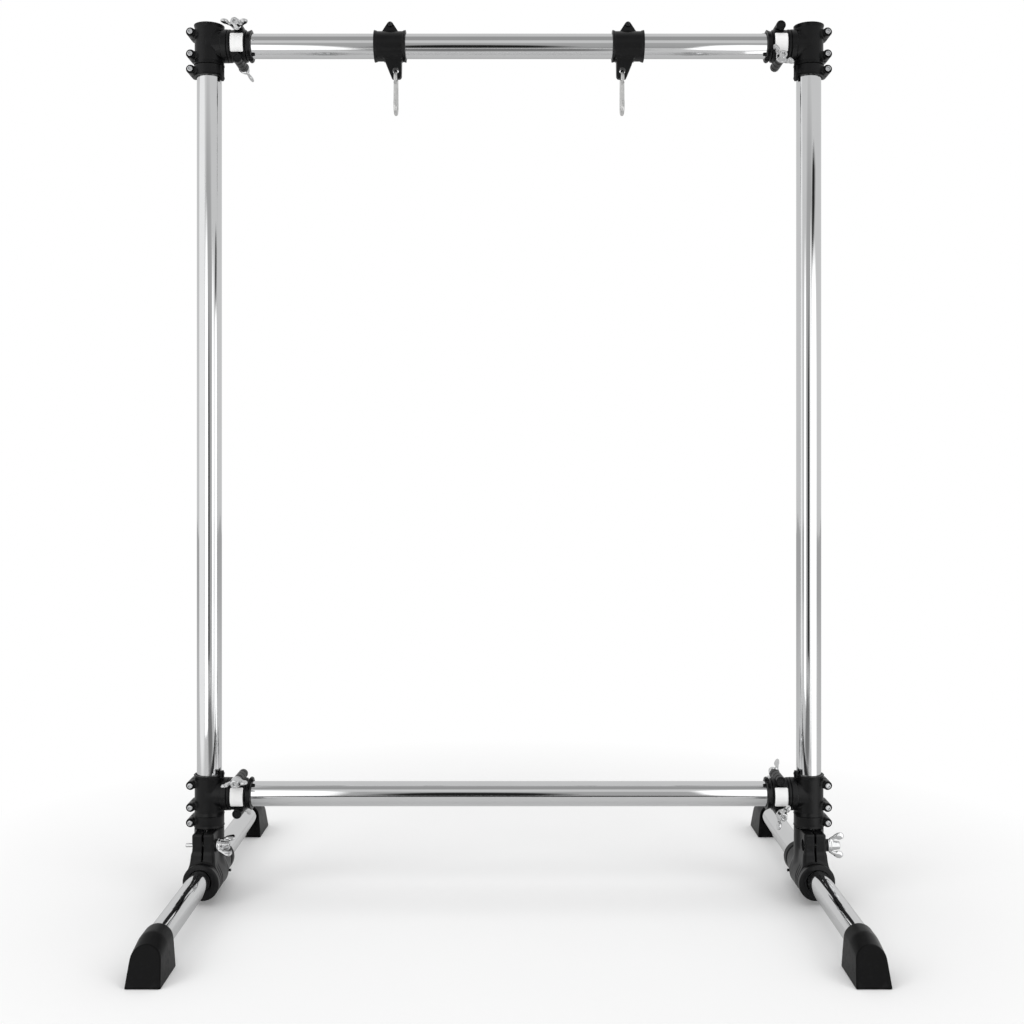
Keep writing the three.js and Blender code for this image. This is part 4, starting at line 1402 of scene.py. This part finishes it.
def hanger_half(hanger, clamp, side):
    """One half of a hanger with its eye toward +X; side is -1 at the front and 1 at the back."""
    half, waist, edge = hanger.half_length, hanger.waist_radius, clamp.edge
    body = rod("x", (-half, half), waist, edge=edge)
    body = flared(body, "x", half, LIP_WIDTH, (waist + LIP_STEP, hanger.lip_radius), 0.0006, LIP_EDGE)
    centre = waist + hanger.ear_rise - hanger.ear_tip
    root = hanger.lug_root
    ledge = block(LEDGE_SPAN, (-root, root), (-waist + LEDGE_RISE, LEDGE_TOP), edge)
    whole = body.joined(hanger_ear(hanger, edge, centre), 0.0016).joined(ledge, 0.0004)
    whole = bored(whole.joined(hanger_lug(hanger, edge), 0.0004), clamp, "x", (-half, half))
    far = hanger.lip_radius + OVERRUN
    eye = rod("y", (-far, far), hanger.eye_radius, (hanger.eye_offset, -hanger.eye_drop), 0.0)
    whole = whole.cut(eye, 0.0012).cut(rod("y", (-far, far), SCREW_HOLE, (0.0, centre), 0.0))
    return whole.within(half_space("y", side, side * PARTING / 2), 0.0005)


def hull(points):
    """The outline's convex turns only, in order."""
    points = sorted(set(points))

    def chain(run):
        kept = []
        for point in run:
            while len(kept) > 1 and turn_of(kept[-2], kept[-1], point) <= 0:
                kept.pop()
            kept.append(point)
        return kept[:-1]

    return chain(points) + chain(points[::-1])


def turn_of(a, b, c):
    """Positive where the way from a by b to c turns left."""
    return (b[0] - a[0]) * (c[1] - a[1]) - (b[1] - a[1]) * (c[0] - a[0])


class GONG_OT_hangers(Operator):
    """Build the split hangers on the top bar"""

    bl_idname = "gong_stand.hangers"
    bl_label = "Hangers"

    def execute(self, context):
        stand = settings()
        hanger = stand.hanger
        half = hanger.half_length
        far = hanger.lip_radius
        tall = hanger.waist_radius + hanger.ear_rise
        for face, sign in FACES.items():
            low = (-half, min(sign * far, 0.0), -hanger.lug_bottom)
            high = (half, max(sign * far, 0.0), tall)
            name = f"hanger_{face}"
            form = hanger_half(hanger, stand.clamp, sign)
            halves = both_hands(name, moulded(name, form, low, high, HANGER_PITCH))
            for side in SIDES:
                node = f"hanger_{face}_{side}"
                place = Vector((middle(node).x, 0.0, middle("crossbar_top").z))
                stand_for(node, "nylon", halves[side], place)
        return {"FINISHED"}


WIRE_END_DROP = 0.0044
TONGUE_HALF, TONGUE_REACH, TONGUE_SPAN = 0.0011, 0.0022, (-0.0112, -0.0035)
FORK_HALF, FORK_FLOOR, GATE_TOP = 0.0014, -0.0047, 0.0026
PIN_RADIUS, PIN_RISE = 0.0012, 0.0002
GATE_ROOM, GATE_LENGTH = 0.003, 0.033


def hook_path(hook):
    """The wire's centre line in the YZ plane about the centre of the upper bend, from nose to gate."""
    path = [(-hook.bottom_bend, hook.nose_rise - hook.drop)]
    path += arc((0.0, -hook.drop), hook.bottom_bend, 180, 360, 24)
    path += [((hook.top_bend + hook.bottom_bend) / 2, -hook.drop / 2)]
    path += arc((0.0, 0.0), hook.top_bend, 0, 180, 18)
    path += [(-hook.top_bend, -WIRE_END_DROP)]
    return smooth_path(path, 110)


def smooth_path(points, count):
    """Points evenly along an outline, softened where its parts meet."""
    points = np.array(points)
    for _ in range(2):
        run = np.concatenate([[0.0], np.cumsum(np.linalg.norm(np.diff(points, axis=0), axis=1))])
        even = np.linspace(0.0, run[-1], count)
        points = np.column_stack([np.interp(even, run, points[:, i]) for i in range(2)])
        points[1:-1] = (points[:-2] + 2 * points[1:-1] + points[2:]) / 4
    return points


def gate_form(hook):
    """The gate hanging from its pin, forked over the hook's tongue."""
    nose = Vector((-hook.bottom_bend, hook.nose_rise - hook.drop))
    pivot = Vector((-hook.top_bend, -hook.pivot_drop))
    reach = (nose - pivot).length - SLIP
    gate = rod("z", (-reach, GATE_TOP), hook.gate_radius, edge=0.0008)
    fork = block((-FORK_HALF, FORK_HALF), (-0.01, 0.01), (FORK_FLOOR, 0.01), 0.0)
    pin_reach = hook.gate_radius + PIN_RISE
    pin = rod("x", (-pin_reach, pin_reach), PIN_RADIUS, edge=0.0003)
    return gate.cut(fork, 0.0003).joined(pin)


class GONG_OT_spring_hooks(Operator):
    """Build the spring hooks and their gates"""

    bl_idname = "gong_stand.spring_hooks"
    bl_label = "Spring hooks"

    def execute(self, context):
        stand = settings()
        hook = stand.hook
        wire = swept("hook_wire", hook_path(hook), hook.wire_radius)
        front = -hook.top_bend
        span = (front - TONGUE_REACH, front + TONGUE_REACH)
        tongue = block((-TONGUE_HALF, TONGUE_HALF), span, TONGUE_SPAN, 0.0004)
        box = (-0.002, front - GATE_ROOM, -0.012), (0.002, front + GATE_ROOM, -GATE_ROOM)
        leaf = small("hook_tongue", tongue, *box)
        box = (-GATE_ROOM, -GATE_ROOM, -GATE_LENGTH), (GATE_ROOM, GATE_ROOM, GATE_ROOM)
        gate = small("hook_gate", gate_form(hook), *box)
        run = hook.bottom_bend - hook.top_bend
        fall = hook.drop - hook.nose_rise - hook.pivot_drop
        lean = math.atan2(-run, fall)
        for side in SIDES:
            node = f"hook_{side}"
            spot = middle(node)
            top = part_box(node)[1].z
            centre = Vector((spot.x, 0.0, top - hook.wire_radius - hook.top_bend))
            stand_for(node, "zinc", wire, centre)
            placed(f"hook_tongue_{side}", leaf, centre, "hook_chrome", body_of(node))
            pivot = centre + Vector((0.0, -hook.top_bend, -hook.pivot_drop))
            turn = Matrix.Rotation(lean, 4, "X")
            stand_for(f"hook_gate_{side}", "zinc", gate, Matrix.Translation(pivot) @ turn)
        return {"FINISHED"}


# Legs


LOBE_FOOT_RADIUS = 0.0175
# Places of the saddle's grooves as distances from its nearer end, three in front and one behind
FRONT_GROOVES, BACK_GROOVE = (0.013, 0.021, 0.029), 0.013
SADDLE_GROOVE, SADDLE_GROOVE_DEPTH = 0.0009, 0.0011
FLARE_FOOT, FLARE_NOSE = 0.004, 0.006
# The rear web's reach and half thickness, and the ends of its sloped back as (distance, height)
WEB_REACH, WEB_HALF, WEB_SLOPE = 0.046, 0.007, [(0.046, 0.060), (0.0225, 0.096)]
BRACKET_PITCH = 1.1
JAW_BOSS_RISE, JAW_BOSS_RADIUS = 0.0035, 0.009
JAW_SLIT_HALF, JAW_SLIT_FLOOR, UPRIGHT_SEAT = 0.0012, 0.062, 0.0637
SET_SCREW_SPAN, SET_SCREW_RADIUS = (-0.006, 0.0052), 0.0021
SET_SCREW_BEHIND, SET_SCREW_DROP = 0.023, 0.010
SET_SCREW_BOX = (-0.006, -0.0025, -0.0025), (0.0055, 0.0025, 0.0025)


def saddle_form(bracket, axis_height, inner):
    """The saddle on the leg tube with flared mouths, a lower lobe on the inner side and grooves."""
    half = bracket.saddle_half
    centre = (0.0, axis_height)
    saddle = rod("y", (-half, half), bracket.saddle_radius, centre, 0.0012)
    radii = (bracket.saddle_radius, bracket.mouth_radius)
    saddle = flared(saddle, "y", half, bracket.mouth_length, radii, 0.004, 0.0022, centre)
    at = (inner * bracket.lobe_offset, axis_height - bracket.lobe_drop)
    end, radius = bracket.lobe_end, bracket.lobe_radius
    lobe = rod("y", (-half + 0.001, end), radius, at, 0.0014)
    tail = rod("y", (end - 0.001, end + bracket.lobe_taper), radius, at, 0.002, LOBE_FOOT_RADIUS)
    saddle = saddle.joined(lobe.joined(tail, 0.003), 0.007)
    grooves = [-half + place for place in FRONT_GROOVES] + [half - BACK_GROOVE]
    return saddle.scored("y", grooves, SADDLE_GROOVE, SADDLE_GROOVE_DEPTH)


def jaw_skirt(bracket, low):
    """The jaws' flared foot, wider and longer toward its base."""
    wide, jaw = bracket.flare_half, bracket.jaw_half
    top, reach = bracket.flare_top, bracket.flare_reach
    foot = low + FLARE_FOOT
    flare = [(-wide, low), (wide, low), (wide, foot), (jaw, top), (-jaw, top), (-wide, foot)]
    slope = [(0.0, low), (-reach, low), (-reach, low + FLARE_NOSE), (-bracket.jaw_reach, top), (0.0, top)]
    skirt = plate("y", flare, (-reach, 0.0), 0.003, 0.0026)
    return skirt.within(plate("x", slope, (-0.05, 0.05), 0.003, 0.0), 0.003)


def leg_bracket(bracket, clamp, axis_height, tube_radius, inner):
    """Saddle, socket and clamp jaws about the upright's axis, with heights above the floor."""
    half, jaw, top = bracket.saddle_half, bracket.jaw_half, bracket.socket_top
    whole = saddle_form(bracket, axis_height, inner)
    socket = rod("z", (axis_height, top), bracket.socket_radius, edge=0.0011)
    jaws = block((-jaw, jaw), (-bracket.jaw_reach, 0.0), (axis_height, top), 0.0034)
    skirt = jaw_skirt(bracket, axis_height)
    web = [(0.0, axis_height), (WEB_REACH, axis_height), *WEB_SLOPE, (0.0, WEB_SLOPE[-1][1])]
    web = plate("x", web, (-WEB_HALF, WEB_HALF), 0.004, 0.0015)
    whole = whole.joined(socket, 0.006).joined(jaws, 0.003).joined(skirt, 0.006).joined(web, 0.004)
    bolt = (-bracket.bolt_reach, bracket.bolt_height)
    boss = rod("x", (jaw - OVERRUN, jaw + JAW_BOSS_RISE), JAW_BOSS_RADIUS, bolt, 0.0008)
    whole = whole.joined(boss, 0.0018)
    whole = whole.cut(rod("z", (UPRIGHT_SEAT, top + OVERRUN), clamp.bore_radius, edge=0.0), 0.0008)
    span = (-half - OVERRUN, half + OVERRUN)
    whole = whole.cut(rod("y", span, tube_radius + SLIP, (0.0, axis_height), 0.0), 0.0014)
    slit = (-bracket.jaw_reach - 0.01, OVERRUN - clamp.bore_radius)
    slit = block((-JAW_SLIT_HALF, JAW_SLIT_HALF), slit, (JAW_SLIT_FLOOR, top + OVERRUN), 0.0)
    reach = jaw + JAW_BOSS_RISE + OVERRUN
    whole = whole.cut(slit, 0.0006).cut(rod("x", (-reach, reach), BOLT_HOLE, bolt, 0.0))
    recess = rod("x", (-reach, bracket.recess_depth - jaw), bracket.recess_radius, bolt, 0.0004)
    return whole.cut(recess, 0.0006)


def set_screw():
    """A short slotted screw that stands out of the bracket's inner side, along X."""
    shaft = rod("x", SET_SCREW_SPAN, SET_SCREW_RADIUS, edge=0.0005)
    slot = block((0.0042, 0.008), (-0.004, 0.004), (-0.0004, 0.0004), 0.0)
    return shaft.cut(slot, 0.0002)


class GONG_OT_leg_brackets(Operator):
    """Build the leg brackets and their small set screws"""

    bl_idname = "gong_stand.leg_brackets"
    bl_label = "Leg brackets"

    def execute(self, context):
        stand = settings()
        bracket = stand.bracket
        axis_height, tube_radius = leg_axis()
        wide = bracket.lobe_radius + bracket.lobe_offset
        low = (-wide, -bracket.saddle_half, axis_height - bracket.lobe_drop - bracket.lobe_radius)
        high = (wide, bracket.saddle_half, bracket.socket_top)
        screw = small("set_screw", set_screw(), *SET_SCREW_BOX)
        for side, sign in SIDES.items():
            node = f"leg_bracket_{side}"
            foot = Vector((middle(f"upright_{side}").x, 0.0, 0.0))
            form = leg_bracket(bracket, stand.clamp, axis_height, tube_radius, -sign)
            mesh = moulded(f"{node}_form", form, low, high, BRACKET_PITCH)
            stand_for(node, "nylon", mesh, foot)
            height = axis_height - SET_SCREW_DROP
            spot = foot + Vector((-sign * bracket.saddle_radius, SET_SCREW_BEHIND, height))
            placed(f"set_screw_{side}", screw, half_turned(spot, sign > 0), "clamp_nylon", body_of(node))
        return {"FINISHED"}


def leg_foot(foot, axis_height, tube_radius):
    """A rubber foot from its tip at Y = 0 toward +Y, its sole on the floor."""
    top_radius = foot.top - axis_height
    section = [(-foot.bottom_half, 0.0), (foot.bottom_half, 0.0), (foot.shoulder_half, axis_height)]
    section += arc((0.0, axis_height), top_radius, 12, 168, 12)
    section.append((-foot.shoulder_half, axis_height))
    whole = plate("y", section, (0.0, foot.length_along), 0.0012, foot.edge)
    rise = (foot.top - foot.nose) / (foot.crest - foot.lean * foot.nose / foot.top)
    high = foot.top * 1.4
    lean = [(0.0, -0.02), (0.0, 0.0), (foot.lean * 1.4, high), (0.2, high), (0.2, -0.02)]
    whole = whole.lowered(foot.top, foot.crest, rise)
    whole = whole.within(plate("x", lean, (-0.1, 0.1), 0.0, 0.0), foot.edge * 0.7)
    whole = whole.within(half_space("z", 1, SLIP / 10))
    depth = foot.length_along - foot.tube_depth
    socket = rod("y", (depth, foot.length_along + OVERRUN), tube_radius + SLIP, (0.0, axis_height), 0.0)
    return whole.cut(socket, 0.0016)


class GONG_OT_feet(Operator):
    """Build the rubber feet"""

    bl_idname = "gong_stand.feet"
    bl_label = "Feet"

    def execute(self, context):
        foot = settings().foot
        form = leg_foot(foot, *leg_axis())
        low, high = (-foot.bottom_half, 0.0, 0.0), (foot.bottom_half, foot.length_along, foot.top)
        mesh = moulded("leg_foot", form, low, high)
        for side in SIDES:
            for face, sign in FACES.items():
                node = f"foot_{side}_{face}"
                tip = Vector((middle(f"upright_{side}").x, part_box(node)[sign > 0].y, 0.0))
                stand_for(node, "rubber", mesh, half_turned(tip, sign > 0))
        return {"FINISHED"}


# Stage

WHITE = (1.0, 1.0, 1.0)
REFLECTED_FLOOR = (0.6, 0.6, 0.6)
FLOOR_REACH = 9
FLOOR_GAP = 0.0004
SENSOR_WIDTH = 36.0
CAMERA_ASIDE = 0.0046
LAMP_AIM = (0.0, 0.0, 0.6)

# Lamps: place, size and share of the key power
LAMPS = {
    "lamp_left": ((-2.4, -1.8, 2.2), (1.6, 2.0), 1.0),
    "lamp_right": ((2.2, -2.0, 2.0), (1.6, 2.0), 0.8),
    "lamp_top": ((0.0, 0.6, 3.2), (2.4, 2.4), 0.8),
}
# Cards that only reflections see: ends in plan, heights, brightness, squareness and softness of the edge
CARDS = {
    "back_wall": ([(-2.7, -3.3), (2.5, -3.3)], (-0.6, 2.5), 0.42, 3.0, 0.35),
    "dark_doorway": ([(-0.54, -2.25), (0.28, -2.25)], (-0.55, 1.36), 0.015, 2.2, 0.32),
    "left_softbox": ([(-2.2, 0.10), (-0.56, -0.34)], (0.0, 1.6), 0.98, 9.0, 0.1),
    "left_upper_softbox": ([(-1.3, -0.142), (-0.72, -0.297)], (1.4, 2.6), 0.9, 5.0, 0.2),
    "left_front_softbox": ([(-1.06, -1.0), (-0.38, -1.25)], (-0.5, 1.36), 1.4, 3.0, 0.16),
    "right_softbox": ([(0.608, -0.618), (0.587, -0.055)], (-0.25, 1.06), 1.4, 6.0, 0.08),
    "right_front_softbox": ([(0.46, -1.27), (0.66, -0.74)], (-0.1, 1.3), 1.4, 3.0, 0.2),
    "right_cap": ([(0.604, -0.52), (0.587, -0.07)], (1.0, 1.24), 0.02, 2.2, 0.35),
    "low_screen": ([(-0.56, -0.26), (0.56, -0.26)], (0.08, 0.14), 0.03, 4.0, 0.3),
}
# Level cards: low and high corners in plan, height, brightness, squareness and softness of the edge
LEVEL_CARDS = {
    "ceiling_screen": ((-3.0, -2.3), (3.0, -0.05), 3.0, 0.36, 5.0, 0.2),
    "far_floor_screen": ((-1.7, -5.2), (1.5, -1.3), 0.001, 0.34, 3.0, 0.4),
    "near_floor_screen": ((-0.6, -1.9), (0.5, -0.45), 0.001, 0.2, 3.0, 0.4),
}


def square_mesh(name, reach):
    corners = [(-reach, -reach, 0), (reach, -reach, 0), (reach, reach, 0), (-reach, reach, 0)]
    return new_mesh(name, corners, [[0, 1, 2, 3]])


def card(name, middle_point, across, upward, level, square, softness):
    """A glowing stage card, soft at its edges, that is seen only in reflections."""

    def surface(shader):
        where = shader.coordinates()
        reach = 0.0
        for axis in ("X", "Y"):
            place = shader.node("ShaderNodeSeparateXYZ", None, {"Vector": where}, output=axis)
            reach = place.maths("ABSOLUTE", place) ** square + reach
        ragged = (shader.noise(1.4, 3.0, 0.6) - 0.5) * softness
        edge = (reach ** (1.0 / square) + ragged).clamped(1.0 - softness * 1.3, 1.0 - softness * 0.3)
        return shader.blend(edge, shader.glow((level,) * 3), shader.node("ShaderNodeBsdfTransparent"))

    mesh = square_mesh(name, 1)
    mesh.materials.append(material_of(name, surface))
    sheet = added(name, mesh)
    columns = [across, upward, across.cross(upward).normalized(), middle_point]
    sheet.matrix_world = Matrix([[*(c[row] for c in columns)] for row in range(3)] + [[0.0, 0.0, 0.0, 1.0]])
    for kind in ("camera", "diffuse", "shadow", "transmission"):
        setattr(sheet, f"visible_{kind}", False)


def floor_surface(shader):
    """Pale floor that keeps the stand's shadow, and fades to plain white away from it."""
    stage = settings().stage
    paint = shader.mix(stage.floor, tinted(stage.floor, 0.985), shader.noise(3.0, 2.0))
    matte = shader.node("ShaderNodeBsdfDiffuse", None, {"Color": paint})
    dim = shader.node("ShaderNodeBsdfDiffuse", None, {"Color": (*REFLECTED_FLOOR, 1.0)})
    matte = shader.blend(shader.ray("Glossy"), matte, dim)
    centre = {0: shader.coordinates()}
    away = shader.node("ShaderNodeVectorMath", {"operation": "LENGTH"}, centre, output="Value")
    faded = away.clamped(stage.fade_start, stage.fade_end) * shader.ray("Camera")
    return shader.blend(faded, matte, shader.glow(WHITE))


def soft_lamp(name, place, size, power):
    """A soft rectangular lamp aimed at the stand's middle and never seen itself."""
    data = bpy.data.lights.new(name, "AREA")
    data.shape = "RECTANGLE"
    data.size, data.size_y = size
    data.energy = power
    lamp = added(name, data)
    lamp.location = place
    lamp.rotation_euler = (Vector(LAMP_AIM) - Vector(place)).to_track_quat("-Z", "Y").to_euler()
    lamp.visible_glossy = False
    lamp.visible_camera = False


class GONG_OT_stage(Operator):
    """Build the floor, the reflection cards, the lamps and the camera"""

    bl_idname = "gong_stand.stage"
    bl_label = "Stage"

    def execute(self, context):
        scene = context.scene
        stage = settings().stage
        mesh = square_mesh("floor", FLOOR_REACH)
        mesh.materials.append(material_of("studio_floor", floor_surface))
        floor = added("floor", mesh)
        floor.location.z = -FLOOR_GAP
        for name, (ends, (bottom, top), *look) in CARDS.items():
            start, end = (Vector((*plan, (bottom + top) / 2)) for plan in ends)
            card(name, (start + end) / 2, (end - start) / 2, Vector((0.0, 0.0, (top - bottom) / 2)), *look)
        for name, (low, high, height, *look) in LEVEL_CARDS.items():
            low, high = Vector((*low, height)), Vector((*high, height))
            across, along = Vector(((high.x - low.x) / 2, 0.0, 0.0)), Vector((0.0, (high.y - low.y) / 2, 0.0))
            card(name, (low + high) / 2, across, along, *look)
        self.light(scene, stage)
        camera = added("camera", bpy.data.cameras.new("camera"))
        camera.location = (CAMERA_ASIDE, -stage.camera_distance, stage.camera_height)
        camera.rotation_euler = (math.pi / 2, 0.0, 0.0)
        camera.data.lens = stage.lens
        camera.data.sensor_width = SENSOR_WIDTH
        camera.data.shift_y = stage.horizon
        scene.camera = camera
        scene.view_settings.view_transform = "Standard"
        return {"FINISHED"}

    def light(self, scene, stage):
        world = bpy.data.worlds.new("studio")
        scene.world = world
        world.use_nodes = True
        shader = Shader(world.node_tree)
        seen = shader.ray("Camera")
        unseen = shader.ray("Glossy") * (stage.reflection - stage.ambient) + stage.ambient
        level = seen + (1.0 - seen) * unseen
        glow = {"Color": (*WHITE, 1.0), "Strength": level}
        room = shader.node("ShaderNodeBackground", None, glow)
        shader.node("ShaderNodeOutputWorld", None, {"Surface": room})
        for name, (place, size, share_of_key) in LAMPS.items():
            soft_lamp(name, place, size, stage.key_power * share_of_key)


OPERATORS = (
    GONG_OT_tubes,
    GONG_OT_tee_clamps,
    GONG_OT_lock_rings,
    GONG_OT_bolts,
    GONG_OT_wing_bolts,
    GONG_OT_hangers,
    GONG_OT_spring_hooks,
    GONG_OT_leg_brackets,
    GONG_OT_feet,
    GONG_OT_stage,
)


class GONG_PT_panel(Panel):
    """Sizes, finishes and builders of the gong stand"""

    bl_idname = "GONG_PT_panel"
    bl_label = "Gong Stand"
    bl_space_type = "VIEW_3D"
    bl_region_type = "UI"
    bl_category = "Gong Stand"

    def draw(self, context):
        layout = self.layout
        for operator in OPERATORS:
            layout.operator(operator.bl_idname)
        for group in GONG_PG_stand.__annotations__:
            box = layout.box()
            box.label(text=group.capitalize())
            part = getattr(context.scene.gong_stand, group)
            for name in part.__annotations__:
                box.prop(part, name)


CLASSES = (
    GONG_PG_tube,
    GONG_PG_clamp,
    GONG_PG_wing,
    GONG_PG_hanger,
    GONG_PG_hook,
    GONG_PG_bracket,
    GONG_PG_foot,
    GONG_PG_finish,
    GONG_PG_stage,
    GONG_PG_stand,
    *OPERATORS,
    GONG_PT_panel,
)


def register():
    for kind in CLASSES:
        bpy.utils.register_class(kind)
    bpy.types.Scene.gong_stand = PointerProperty(
        type=GONG_PG_stand, name="Gong stand", description="Gong stand settings"
    )


def unregister():
    del bpy.types.Scene.gong_stand
    for kind in reversed(CLASSES):
        bpy.utils.unregister_class(kind)


def main():
    register()
    for operator in OPERATORS:
        call = getattr(bpy.ops.gong_stand, operator.bl_idname.split(".")[1])
        call()


if __name__ == "__main__":
    main()
